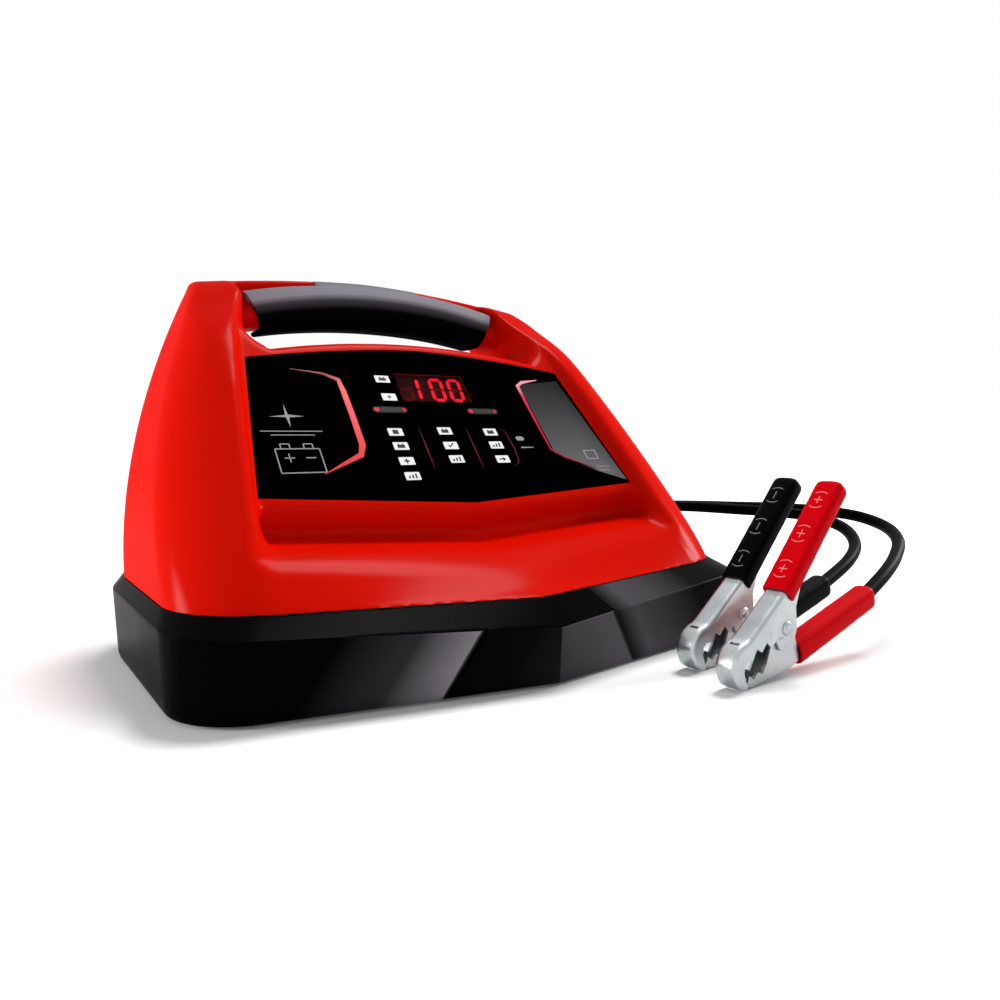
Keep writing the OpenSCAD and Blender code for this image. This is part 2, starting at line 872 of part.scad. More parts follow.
module button_left() {
    push_button(-1);
}

module button_right() {
    push_button(1);
}

module button_switches() {
    on_panel()
        for (s = [-1, 1])
            translate([s * button_x, switch_y, control_top]) {
                translate([-3, -3, 0])
                    cube([6, 6, 3]);
                cylinder(r = 1.5, h = 4);
            }
}

module control_board() {
    on_panel()
        translate([0, 0, control_top - control_board_t])
            linear_extrude(control_board_t)
                difference() {
                    translate([-60, -80])
                        square([120, 71]);
                    for (p = control_holes)
                        translate([p.x, p.y])
                            circle(screw_r + screw_gap);
                }
}

module control_board_screws() {
    on_panel()
        for (p = control_holes)
            translate([p.x, p.y, control_top - control_board_t])
                screw(control_screw_l);
}

// ---------- power parts ----------

module power_board() {
    translate([0, 0, board_low])
        linear_extrude(board_t)
            difference() {
                translate([board_x[0], board_y[0]])
                    square([board_x[1] - board_x[0], board_y[1] - board_y[0]]);
                for (p = board_holes)
                    translate([p.x, p.y])
                        circle(screw_r + screw_gap);
            }
}

module power_board_screws() {
    for (p = board_holes)
        translate([p.x, p.y, board_low + board_t])
            rotate([180, 0, 0])
                screw(board_screw_l);
}

module transformer_core() {
    translate([core_at.x, core_at.y, core_low]) {
        difference() {
            translate([-core_w / 2, -core_t / 2, 0])
                cube([core_w, core_t, core_h]);
            for (s = [-1, 1])
                translate([s * 19.5 - 6.5, -core_t, 13])
                    cube([13, 2 * core_t, core_h - 26]);
        }
        difference() {
            translate([-core_lug / 2, -15, 0])
                cube([core_lug, 30, core_lug_t]);
            for (p = core_holes)
                translate([p.x, p.y, 0])
                    screw_bore(core_lug_t);
        }
    }
}

module transformer_winding() {
    translate([core_at.x, core_at.y, core_low + 13.3])
        difference() {
            translate([-25.5, -core_t / 2 - 11, 0])
                cube([51, core_t + 22, core_h - 26.6]);
            translate([-13.2, -core_t / 2 - 0.2, -1])
                cube([26.4, core_t + 0.4, core_h]);
        }
}

module transformer_screws() {
    for (p = core_holes)
        translate([core_at.x + p.x, core_at.y + p.y, core_low + core_lug_t])
            rotate([180, 0, 0])
                screw(core_screw_l);
}

module heat_sink() {
    w = sink_x[1] - sink_x[0];
    translate([sink_x[0], sink_y[0], sink_low]) {
        cube([w, 4, sink_h]);
        cube([w, sink_y[1] - sink_y[0], 4]);
        for (k = [0:7])
            translate([k * (w - 2.5) / 7, 0, 0])
                cube([2.5, sink_y[1] - sink_y[0], sink_h]);
    }
}

module rectifiers() {
    for (x = [32, 50, 68, 86])
        translate([x, sink_y[0], 0]) {
            translate([-5, -5, 20])
                cube([10, 5, 16]);
            for (k = [-1, 1])
                translate([k * 2.5 - 0.5, -4.6, board_low + board_t])
                    cube([1, 0.6, 4.5]);
        }
}

module capacitors() {
    for (p = [[0, -40], [26, -40], [52, -44]])
        translate([p.x, p.y, board_low + board_t])
            cylinder(r = 10, h = 30);
}

module relay() {
    translate([76, -30, board_low + board_t])
        cube([22, 16, 16]);
}

module fuse_link() {
    translate([10, 4, board_low + board_t]) {
        cube([20, 9, 5]);
        translate([2, 2.5, 5])
            cube([16, 4, 9]);
    }
}

// ---------- cooling fan ----------

hub_r = 12;
hub_t = 4;

module at_fan() {
    translate([fan_at.x, fan_back, fan_at.y])
        rotate([90, 0, 0])
            children();
}

module fan_frame() {
    half = fan_size / 2;
    at_fan()
        difference() {
            union() {
                difference() {
                    translate([-half, -half, 0])
                        cube([fan_size, fan_size, fan_depth]);
                    translate([0, 0, -1])
                        cylinder(r = fan_rotor_r + 1.5, h = fan_depth + 2);
                }
                cylinder(r = hub_r, h = hub_t);
                for (a = [0:90:270])
                    rotate([0, 0, a + 20])
                        translate([0, -1.5, 0])
                            cube([fan_rotor_r + 2, 3, hub_t - 1]);
            }
            translate([0, 0, 0.6])
                cylinder(r = fan_shaft_r + fan_shaft_gap, h = hub_t);
            for (s = [-1, 1])
                for (u = [-1, 1])
                    translate([s * fan_hole, u * fan_hole, 0])
                        screw_bore(fan_depth);
        }
}

module fan_rotor() {
    at_fan() {
        translate([0, 0, 1])
            cylinder(r = fan_shaft_r, h = 6);
        translate([0, 0, hub_t + 0.6])
            cylinder(r = hub_r, h = fan_depth - hub_t - 2);
        intersection() {
            translate([0, 0, hub_t + 1])
                cylinder(r = fan_rotor_r, h = fan_depth - hub_t - 2.4);
            for (a = [0:60:300])
                rotate([0, 0, a])
                    translate([hub_r - 2, 0, hub_t + (fan_depth - hub_t) / 2])
                        rotate([38, 0, 0])
                            translate([0, -9, -0.8])
                                cube([fan_rotor_r, 18, 1.6]);
        }
    }
}

module fan_screws() {
    at_fan()
        for (s = [-1, 1])
            for (u = [-1, 1])
                translate([s * fan_hole, u * fan_hole, fan_depth])
                    rotate([180, 0, 0])
                        screw(fan_depth + 1.5);
}

// ---------- glands and leads ----------

relief_rib = relief_l / 8;
lead_start = gland_wall + relief_l;

module lead_gland() {
    flange_out = body_w(gland_z - gland_r - 2.4) - gland_wall + 0.15;
    at_gland(-shell_wall - 4.4)
        oval(gland_r + 3, 2.4);
    at_gland(-shell_wall - 2.2)
        oval(gland_r, shell_wall + 3.2);
    at_gland(flange_out)
        oval(gland_r + 2.4, 3 - flange_out);
    for (k = [0:6])
        at_gland(2.9 + k * relief_rib)
            oval(gland_r + 1 - 0.25 * k, relief_rib * 0.62);
    at_gland(2)
        oval(gland_r - 0.9, relief_l - 2);
}

module mains_gland() {
    difference() {
        union() {
            at_mains(-shell_wall - 3)
                cylinder(r = mains_r + 2.5, h = 2.8);
            at_mains(-shell_wall - 0.4)
                cylinder(r = mains_r, h = shell_wall + 2);
            at_mains(0.2)
                cylinder(r = mains_r + 2.5, h = 2.4);
            at_mains(2)
                cylinder(r = mains_r - 0.8, h = 3.6);
        }
        at_mains(-10)
            cylinder(r = mains_bore_r, h = 30);
    }
}

route_red = [[206, 42, 61], [228, 28, 61], [248, 4, 61], [266, -21, 61], [281, -45, 60], [285, -71, 58],
    [275, -97, 54], [254, -118, 49], [228, -132, 43], [201, -142, 37]];
route_black = [[205, 34, 61], [223, 20, 61], [240, -3, 60], [256, -26, 59], [267, -49, 57], [264, -74, 52],
    [247, -94, 45], [219, -108, 38]];

function spline(p, n) =
    let (m = len(p), q = concat([2 * p[0] - p[1]], p, [2 * p[m - 1] - p[m - 2]]))
    concat([for (i = [1:m - 1]) for (k = [0:n - 1])
        let (t = k / n, a = q[i - 1], b = q[i], c = q[i + 1], d = q[i + 2])
        0.5 * (2 * b + (c - a) * t + (2 * a - 5 * b + 4 * c - d) * t * t
            + (3 * b - a - 3 * c + d) * t * t * t)], [p[m - 1]]);

function unit(v) = v / norm(v);

// Tube along a path, its rings set square to the path.
module tube(path, r, sides, first_dir, last_dir, across) {
    m = len(path);
    rings = [for (i = [0:m - 1])
        let (d = unit(i == 0 ? first_dir : i == m - 1 ? last_dir : path[i + 1] - path[i - 1]),
             u = unit(cross(across, d)), v = cross(d, u))
        [for (k = [0:sides - 1]) let (a = 360 * (k + 0.5) / sides) path[i] + r * (cos(a) * u + sin(a) * v)]];
    points = [for (ring = rings) each ring];
    walls = [for (i = [0:m - 2]) for (k = [0:sides - 1])
        let (j = (k + 1) % sides, a = i * sides + k, b = (i + 1) * sides + k,
             c = (i + 1) * sides + j, e = i * sides + j)
        each [[a, b, c], [a, c, e]]];
    ends = [[for (k = [0:sides - 1]) k], [for (k = [sides - 1:-1:0]) (m - 1) * sides + k]];
    polyhedron(points, concat(walls, ends), convexity = 10);
}

// Place in the model of a point [x, z] in the middle plane of a clamp.
function clamp_point(at, p) =
    let (x = p.x * cos(clamp_pitch) - p.y * sin(clamp_pitch))
    [at.x + x * cos(clamp_turn), at.y + x * sin(clamp_turn),
        p.x * sin(clamp_pitch) + p.y * cos(clamp_pitch) - clamp_drop];

module lead(side, route, at) {
    start = [lead_start, gland_y + side * lead_gap / 2, gland_z];
    finish = clamp_point(at, handle_end);
    dir = clamp_point([0, 0], [cos(handle_rise), sin(handle_rise)]) + [0, 0, clamp_drop];
    path = spline(concat([start], route, [finish]), 3);
    tube(path, lead_d / 2, 10, [1, 0, 0], -dir, [0, 0, 1]);
}

module lead_red() {
    lead(1, route_red, red_at);
}

module lead_black() {
    lead(-1, route_black, black_at);
}

// ---------- clamps: local x from the jaw tip, z up, y across ----------

red_at = [59, -157];
black_at = [68, -125];
clamp_turn = 4.5;
heel_x = 11;
clamp_drop = heel_x * sin(clamp_pitch);
pivot = [36, 21.5];
half_w = clamp_w / 2;
nest_gap = 0.25;
inner_w = half_w - clamp_t - nest_gap;
upper_lean = 41;
upper_from = [34, 38];
upper_l = 66;
upper_depth = 7;
lower_from = [43, 1.2];
lower_l = 76;
lower_depth = 9;
sleeve_gap = 0.1;
sleeve_start = 5;
crimp_r = 2.2;
crimp_l = 22;
crimp_up = clamp_t + crimp_r + 0.2;
handle_end = lower_from + lower_l * [cos(handle_rise), sin(handle_rise)]
    + crimp_up * [-sin(handle_rise), cos(handle_rise)];

module at_clamp(at) {
    translate([at.x, at.y, -clamp_drop])
        rotate([0, 0, clamp_turn])
            rotate([0, -clamp_pitch, 0])
                children();
}

// Plate of thickness t drawn in x and z, starting at y0.
module plate(y0, t) {
    translate([0, y0 + t, 0])
        rotate([90, 0, 0])
            linear_extrude(t)
                children();
}

module cheeks(w) {
    for (y = [-w, w - clamp_t])
        plate(y, clamp_t)
            children();
}

module pivot_bore() {
    translate([pivot.x, 20, pivot.y])
        rotate([90, 0, 0])
            cylinder(r = rivet_r + rivet_gap, h = 40);
}

module upper_handle_frame() {
    translate([upper_from.x, 0, upper_from.y])
        rotate([0, -upper_lean, 0])
            children();
}

module lower_handle_frame() {
    translate([lower_from.x, 0, lower_from.y])
        rotate([0, -handle_rise, 0])
            children();
}

module upper_jaw() {
    t = clamp_t;
    difference() {
        resize([0, 0, 0]) {
            cheeks(half_w)
                polygon([[2.5, 1.5], [-4.5, 11.5], [2, 21.5], [7, 22.5], [34, 38], [41.5, 32], [44, 20],
                    [41, 13.5], [30, 12.5], [27, 18], [23.5, 15.5], [20, 19], [16, 15.5], [12.5, 18],
                    [9, 14], [5.5, 14.5], [2.2, 11], [5, 3.5]]);
            plate(-half_w, clamp_w)
                polygon([[2.5, 1.5], [-4.5, 11.5], [2, 21.5], [7, 22.5], [34, 38], [34.8, 36.9],
                    [7.4, 21.1], [2.7, 20.2], [-3, 11.4], [3.6, 2.2]]);
            upper_handle_frame() {
                for (y = [-half_w, half_w - t])
                    translate([-1, y, -upper_depth])
                        cube([upper_l, t, upper_depth]);
                translate([-1, -half_w, -t])
                    cube([upper_l, clamp_w, t]);
            }
        }
        pivot_bore();
        translate([2, -2.2, 18])
            cube([4.5, 4.4, 8]);
    }
}

module lower_jaw() {
    t = clamp_t;
    difference() {
        resize([0, 0, 0]) {
            cheeks(inner_w)
                polygon([[heel_x, 0], [7, 1], [5.5, 3.5], [8, 6.5], [11, 4], [14.5, 6.5], [18, 4.5],
                    [21.5, 9], [25, 16], [31, 25], [34.5, 27.5], [39, 27], [43, 22], [45, 12.5],
                    [47, 3], [40, 0]]);
            plate(-inner_w, 2 * inner_w)
                polygon([[heel_x, 0], [40, 0], [43.2, 1.2], [43, 1.2 + t], [39.7, t], [11, t]]);
            lower_handle_frame() {
                for (y = [-inner_w, inner_w - t])
                    translate([-0.5, y, 0])
                        cube([lower_l - 3, t, lower_depth]);
                translate([-0.5, -inner_w, 0])
                    cube([lower_l - 3, 2 * inner_w, t]);
            }
        }
        pivot_bore();
    }
}

// Sleeve closed at its far end, round steel w to each side and from low to top.
module sleeve(l, w, low, top, bore) {
    s = sleeve_t;
    difference() {
        translate([0, -w - s, low - s])
            cube([l, 2 * (w + s), top - low + 2 * s]);
        translate([-1, -w - sleeve_gap, low - sleeve_gap])
            cube([l + 1 - s, 2 * (w + sleeve_gap), top - low + 2 * sleeve_gap]);
        if (bore > 0)
            translate([0, 0, crimp_up])
                rotate([0, 90, 0])
                    cylinder(r = bore, h = l + 1);
    }
}

module upper_sleeve() {
    upper_handle_frame()
        translate([2, 0, 0])
            sleeve(upper_l, half_w, -upper_depth, 0, 0);
}

module lower_sleeve() {
    lower_handle_frame()
        translate([sleeve_start, 0, 0])
            sleeve(lower_l - sleeve_start, inner_w, 0, lower_depth, crimp_r + 0.1);
}

module rivet() {
    translate([pivot.x, 0, pivot.y])
        rotate([90, 0, 0]) {
            translate([0, 0, -half_w - 0.2])
                cylinder(r = rivet_r, h = clamp_w + 0.4);
            for (z = [-half_w - 1.1, half_w + 0.1])
                translate([0, 0, z])
                    cylinder(r = rivet_r + 1.4, h = 1);
        }
}

module crimp() {
    lower_handle_frame()
        translate([lower_l - crimp_l, 0, crimp_up])
            rotate([0, 90, 0])
                cylinder(r = crimp_r, h = crimp_l);
}

curls = 2;
curl_pitch = 1.6;
curl_r = 4.4;
wire_r = 0.55;
curl_steps = 8;
arm_up_lean = upper_lean + 17;
arm_up_l = 14;
arm_low_lean = -48;
arm_low_l = 15;

function coil_point(a, a0) =
    [pivot.x + curl_r * cos(a), curl_pitch * (a - a0) / 360, pivot.y + curl_r * sin(a)];

// Least clear distance between parts of a tube at least skip spans apart, at points and middles.
function least_gap(path, r, skip) =
    let (fine = [for (i = [0:len(path) - 2]) each [path[i], (path[i] + path[i + 1]) / 2]])
    min([for (i = [0:len(fine) - 1]) for (j = [i + 2 * skip:len(fine) - 1]) norm(fine[i] - fine[j])])
        - 2 * r;

// Torsion spring round the rivet: curls, then an arm against each handle.
module spring() {
    a0 = arm_up_lean + 90;
    a1 = 270 + arm_low_lean + 360 * curls;
    n = round(curl_steps * (a1 - a0) / 360);
    shift = [0, curl_pitch * (a1 - a0) / 720, 0];
    coil = [for (k = [0:n]) coil_point(lerp(a0, a1, k / n), a0) - shift];
    d0 = [cos(arm_up_lean), 0, sin(arm_up_lean)];
    d1 = [cos(arm_low_lean), 0, sin(arm_low_lean)];
    path = concat([coil[0] + arm_up_l * d0], coil, [coil[n] + arm_low_l * d1]);
    tube(path, wire_r, 6, -d0, d1, [0, 1, 0]);
    echo(spring_gap_to_itself = least_gap(path, wire_r, curl_steps - 2));
}

module at_red(shade) {
    color(shade)
        at_clamp(red_at)
            children();
}

module at_black(shade) {
    color(shade)
        at_clamp(black_at)
            children();
}

module red_clamp_lower_jaw() { at_red(STEEL) lower_jaw(); }
module red_clamp_upper_jaw() { at_red(STEEL) upper_jaw(); }
module red_clamp_rivet() { at_red(STEEL) rivet(); }
module red_clamp_spring() { at_red(STEEL) spring(); }
module red_clamp_lower_sleeve() { at_red(RED) lower_sleeve(); }
module red_clamp_upper_sleeve() { at_red(RED) upper_sleeve(); }
module red_clamp_crimp() { at_red(COPPER) crimp(); }
module black_clamp_lower_jaw() { at_black(STEEL) lower_jaw(); }
module black_clamp_upper_jaw() { at_black(STEEL) upper_jaw(); }
module black_clamp_rivet() { at_black(STEEL) rivet(); }
module black_clamp_spring() { at_black(STEEL) spring(); }
module black_clamp_lower_sleeve() { at_black(BLACK) lower_sleeve(); }
module black_clamp_upper_sleeve() { at_black(BLACK) upper_sleeve(); }
module black_clamp_crimp() { at_black(COPPER) crimp(); }

color(BLACK) base_tray();
color(BLACK) rubber_feet();
color(RED) front_shell();
color(RED) rear_shell();
color("#303234") handle_grip();
color("#08080a") panel_sheet();
color(RED) panel_accents();
color("#1a0505") display_window();
color("#202024") display_module();
color("#ff3020") display_digits();
color("#f4f0f0") indicator_lenses();
color(BLACK) button_left();
color(BLACK) button_right();
color("#d8d8d0") button_switches();
color(FIBRE) control_board();
color(STEEL) control_board_screws();
color(FIBRE) power_board();
color(STEEL) power_board_screws();
color("#5c5f63") transformer_core();
color(COPPER) transformer_winding();
color(STEEL) transformer_screws();
color("#c4c8ca") heat_sink();
color(BLACK) rectifiers();
color("#27385e") capacitors();
color("#2a2c30") relay();
color("#d88a1a") fuse_link();
color(BLACK) fan_frame();
color("#2c2e31") fan_rotor();
color(STEEL) fan_screws();
color(STEEL) case_screws();
color(BLACK) lead_gland();
color(BLACK) mains_gland();
color(BLACK) lead_red();
color(BLACK) lead_black();
red_clamp_lower_jaw();
red_clamp_upper_jaw();
red_clamp_rivet();
red_clamp_spring();
red_clamp_lower_sleeve();
red_clamp_upper_sleeve();
red_clamp_crimp();
black_clamp_lower_jaw();
black_clamp_upper_jaw();
black_clamp_rivet();
black_clamp_spring();
black_clamp_lower_sleeve();
black_clamp_upper_sleeve();
black_clamp_crimp();
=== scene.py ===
"""Portable car battery charger: housing, base tray, grip, panel, leads and clamps.

Every size in the classes is in millimetres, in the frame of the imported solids, and
becomes metres where a mesh is made. Positive z is up and the front faces negative y.
"""

import json
import logging
import math
from dataclasses import dataclass, field
from enum import Enum
from functools import partial
from typing import Callable, Optional, Sequence

import bmesh
import bpy
import numpy as np
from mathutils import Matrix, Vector


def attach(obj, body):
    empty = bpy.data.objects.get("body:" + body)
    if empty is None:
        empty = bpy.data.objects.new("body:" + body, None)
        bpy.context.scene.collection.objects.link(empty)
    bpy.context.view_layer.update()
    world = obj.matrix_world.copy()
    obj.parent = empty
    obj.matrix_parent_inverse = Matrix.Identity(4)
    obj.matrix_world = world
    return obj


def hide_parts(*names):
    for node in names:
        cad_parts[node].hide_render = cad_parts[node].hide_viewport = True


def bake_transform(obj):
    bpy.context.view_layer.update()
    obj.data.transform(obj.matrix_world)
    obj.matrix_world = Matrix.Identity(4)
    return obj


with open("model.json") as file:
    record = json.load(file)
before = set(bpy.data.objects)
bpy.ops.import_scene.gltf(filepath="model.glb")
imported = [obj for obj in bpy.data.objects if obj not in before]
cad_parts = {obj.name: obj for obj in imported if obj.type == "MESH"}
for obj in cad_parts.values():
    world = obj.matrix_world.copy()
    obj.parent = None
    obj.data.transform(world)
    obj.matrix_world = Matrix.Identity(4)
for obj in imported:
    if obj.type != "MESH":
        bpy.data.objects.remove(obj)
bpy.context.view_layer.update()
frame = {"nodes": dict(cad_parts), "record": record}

Array = np.ndarray
Place = Callable[[Array], Array]
Field = Callable[[Array, Array, Array], Array]
Mesh, Item, Material = bpy.types.Mesh, bpy.types.Object, bpy.types.Material
Tree, Socket = bpy.types.NodeTree, bpy.types.NodeSocket
MM = 0.001
BODY = "charger"
SIDES = (-1, 1)
# Places on the panel (across, up the slope), the rear wall (x, z) and the right wall (y, z).
WINDOW = (4.0, -16.5)
BUTTON = (29.0, -34.5)
SCREW = (97.0, 184.0)
INLET = (-70.0, 58.0)
GLAND = (40.0, 61.0)
log = logging.getLogger("charger")


class Operation(Enum):
    """How a second closed mesh changes a first one."""

    CUT = "DIFFERENCE"
    JOIN = "UNION"
    KEEP_COMMON = "INTERSECT"


class Polarity(Enum):
    """The two clamps, by the terminal that each one goes on."""

    PLUS = "red"
    MINUS = "black"


# ---------- meshes ----------


def sin_cos(degrees: float) -> tuple[float, float]:
    """Sine and cosine of an angle in degrees."""
    return math.sin(math.radians(degrees)), math.cos(math.radians(degrees))


def added(name: str, data: object) -> Item:
    """Puts new object data into the scene."""
    item = bpy.data.objects.new(name, data)
    bpy.context.scene.collection.objects.link(item)
    return item


def new_mesh(name: str, points: Array, faces: Sequence[Sequence[int]]) -> Mesh:
    """Makes a mesh from points in millimetres.

    Args:
        name: The mesh's name.
        points: An array of rows x, y, z.
        faces: Point numbers of each face, counter-clockwise seen from outside.

    Returns:
        The mesh, in metres, shaded smooth.
    """
    mesh = bpy.data.meshes.new(name)
    mesh.from_pydata((np.asarray(points, float) * MM).tolist(), [], [list(f) for f in faces])
    mesh.validate()
    mesh.polygons.foreach_set("use_smooth", np.ones(len(mesh.polygons), bool))
    mesh.update()
    return mesh


def grid_faces(rows: int, columns: int) -> Array:
    """Quads between the rows of a grid of points whose last column joins the first.

    Args:
        rows: Number of rows.
        columns: Points in a row.

    Returns:
        An array of quads, one face to each pair of neighbouring rows and columns.
    """
    i, j = np.meshgrid(np.arange(rows - 1), np.arange(columns), indexing="ij")
    k = (j + 1) % columns
    quads = [i * columns + j, i * columns + k, (i + 1) * columns + k, (i + 1) * columns + j]
    return np.stack(quads, -1).reshape(-1, 4)


def loft(name: str, rings: Array) -> Mesh:
    """Closed surface through a stack of closed rings, each end closed by a fan to its middle.

    Args:
        name: The mesh's name.
        rings: An array (rows, points, 3), rings counter-clockwise seen from the last one.

    Returns:
        The mesh with its faces outwards.
    """
    rows, n = rings.shape[:2]
    points = np.vstack([rings.reshape(-1, 3), rings[0].mean(0), rings[-1].mean(0)])
    k = np.arange(n)
    j, top = (k + 1) % n, (rows - 1) * n
    fans = [[j, k, np.full(n, rows * n)], [top + k, top + j, np.full(n, rows * n + 1)]]
    faces = grid_faces(rows, n).tolist() + np.vstack([np.stack(fan, -1) for fan in fans]).tolist()
    return new_mesh(name, points, faces)


def capped(name: str, rings: Array) -> Mesh:
    """Closed surface through a stack of closed rings, each end closed by one flat face."""
    rows, n = rings.shape[:2]
    ends = [list(range(n))[::-1], list(range((rows - 1) * n, rows * n))]
    return new_mesh(name, rings.reshape(-1, 3), grid_faces(rows, n).tolist() + ends)


def outward(mesh: Mesh) -> Mesh:
    """Merges doubles and turns every face of a closed mesh outwards."""
    work = bmesh.new()
    work.from_mesh(mesh)
    bmesh.ops.remove_doubles(work, verts=work.verts, dist=1e-6)
    bmesh.ops.recalc_face_normals(work, faces=work.faces)
    work.to_mesh(mesh)
    work.free()
    return mesh


def prism(name: str, outline: Array, low: float, high: float, place: Place) -> Mesh:
    """Straight prism on a flat outline.

    Args:
        name: The mesh's name.
        outline: Rows x, y, counter-clockwise.
        low: Height of the first face.
        high: Height of the last face.
        place: Takes rows in the outline's own frame to the model's frame.

    Returns:
        The closed mesh.
    """
    outline = np.asarray(outline, float)
    n = len(outline)
    points = np.vstack([np.c_[outline, np.full(n, low)], np.c_[outline, np.full(n, high)]])
    return capped(name, place(points).reshape(2, n, 3))


def as_is(points: Array) -> Array:
    """Leaves points where they are."""
    return points


def cuboid(low: Sequence[float], high: Sequence[float]) -> Mesh:
    """Cutting block between two corners."""
    corners = [[low[0], low[1]], [high[0], low[1]], [high[0], high[1]], [low[0], high[1]]]
    return prism("block", np.array(corners), low[2], high[2], as_is)


def drum(centre: Sequence[float], axis: str, radius: float, low: float, high: float, n: int = 40) -> Mesh:
    """Cutting cylinder along a model axis, between two places on that axis."""
    a = np.linspace(0, 2 * math.pi, n, endpoint=False)
    circle = radius * np.c_[np.cos(a), np.sin(a)]
    turn = {"x": [2, 0, 1], "y": [1, 2, 0], "z": [0, 1, 2]}[axis]
    return prism("drum", circle, low, high, lambda p: p[:, turn] + np.asarray(centre, float))


def shape(mesh: Mesh, cutter: Mesh, operation: Operation) -> Mesh:
    """Changes one closed mesh by another.

    Args:
        mesh: The mesh to change.
        cutter: The mesh that changes it. Both are used up.
        operation: Whether the second is cut away, joined or kept in common.

    Returns:
        A new closed mesh.
    """
    piece, tool = added("blank", mesh), added("cutter", cutter)
    step = piece.modifiers.new("shape", "BOOLEAN")
    step.operation = operation.value
    step.solver = "MANIFOLD"
    step.object = tool
    bpy.context.view_layer.update()
    graph = bpy.context.evaluated_depsgraph_get()
    result = bpy.data.meshes.new_from_object(piece.evaluated_get(graph))
    for item, data in ((piece, mesh), (tool, cutter)):
        bpy.data.objects.remove(item)
        bpy.data.meshes.remove(data)
    return result


def cut(mesh: Mesh, *cutters: Mesh) -> Mesh:
    """Cuts closed meshes away from another, one after the other."""
    for cutter in cutters:
        mesh = shape(mesh, cutter, Operation.CUT)
    return mesh


def smooth_by_angle(mesh: Mesh, degrees: float) -> None:
    """Shades a mesh smooth and marks its edges sharper than an angle."""
    mesh.polygons.foreach_set("use_smooth", np.ones(len(mesh.polygons), bool))
    mesh.set_sharp_from_angle(angle=math.radians(degrees))


def finished(
    name: str,
    mesh: Mesh,
    finish: Material,
    slot: str,
    replaces: Sequence[str] = (),
    body: str = BODY,
    bevel: float = 0.0,
    sharp: float = 32.0,
    segments: int = 2,
) -> Item:
    """Turns a mesh into a piece of the charger that rides on its body.

    Args:
        name: The piece's name.
        mesh: Its closed mesh.
        finish: Its material.
        slot: The material slot of the record that it belongs to. Not used.
        replaces: The solids that it stands for.
        body: The body that it moves with.
        bevel: Width of a live bevel in millimetres, or 0 for none.
        sharp: Angle above which an edge counts as sharp.
        segments: Steps across the bevel.

    Returns:
        The object.
    """
    piece = added(name, mesh)
    mesh.name = name
    mesh.materials.clear()
    mesh.materials.append(finish)
    if bevel > 0:
        mesh.polygons.foreach_set("use_smooth", np.ones(len(mesh.polygons), bool))
        edge = piece.modifiers.new("edge", "BEVEL")
        edge.width = bevel * MM
        edge.segments = segments
        edge.limit_method = "ANGLE"
        edge.angle_limit = math.radians(sharp)
        edge.harden_normals = True
    else:
        smooth_by_angle(mesh, sharp)
    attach(piece, body)
    if replaces:
        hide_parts(*replaces)
    log.info("%s: %d faces", name, len(mesh.polygons))
    return piece


# ---------- fields: negative inside, about millimetres near the surface ----------


def common(a: Array, b: Array, r: float) -> Array:
    """What two fields share, its edge rounded.

    The larger of both, but where both come within r of the surface, the distance to
    an arc of radius r set inside both.
    """
    return np.minimum(np.maximum(a, b), -r) + np.hypot(np.maximum(a + r, 0), np.maximum(b + r, 0))


def polygon_distance(u: Array, v: Array, corners: Sequence[tuple[Array, Array]]) -> Array:
    """Signed distance to a polygon, each place in a corner a number or one for each point.

    The least distance to any side, negative where a ray crosses an odd number of sides.
    """
    best = np.full(np.shape(u), 1e9)
    odd = np.zeros(np.shape(u), bool)
    for (ax, ay), (bx, by) in zip(corners, list(corners[1:]) + [corners[0]]):
        ex, ey = bx - ax, by - ay
        wx, wy = u - ax, v - ay
        t = np.clip((wx * ex + wy * ey) / np.maximum(ex * ex + ey * ey, 1e-9), 0, 1)
        best = np.minimum(best, (wx - ex * t) ** 2 + (wy - ey * t) ** 2)
        crosses = (ay > v) != (by > v)
        slope = np.where(np.abs(ey) > 1e-9, ey, 1e-9)
        odd ^= crosses & (u < ax + ex * (v - ay) / slope)
    return np.where(odd, -1, 1) * np.sqrt(best)


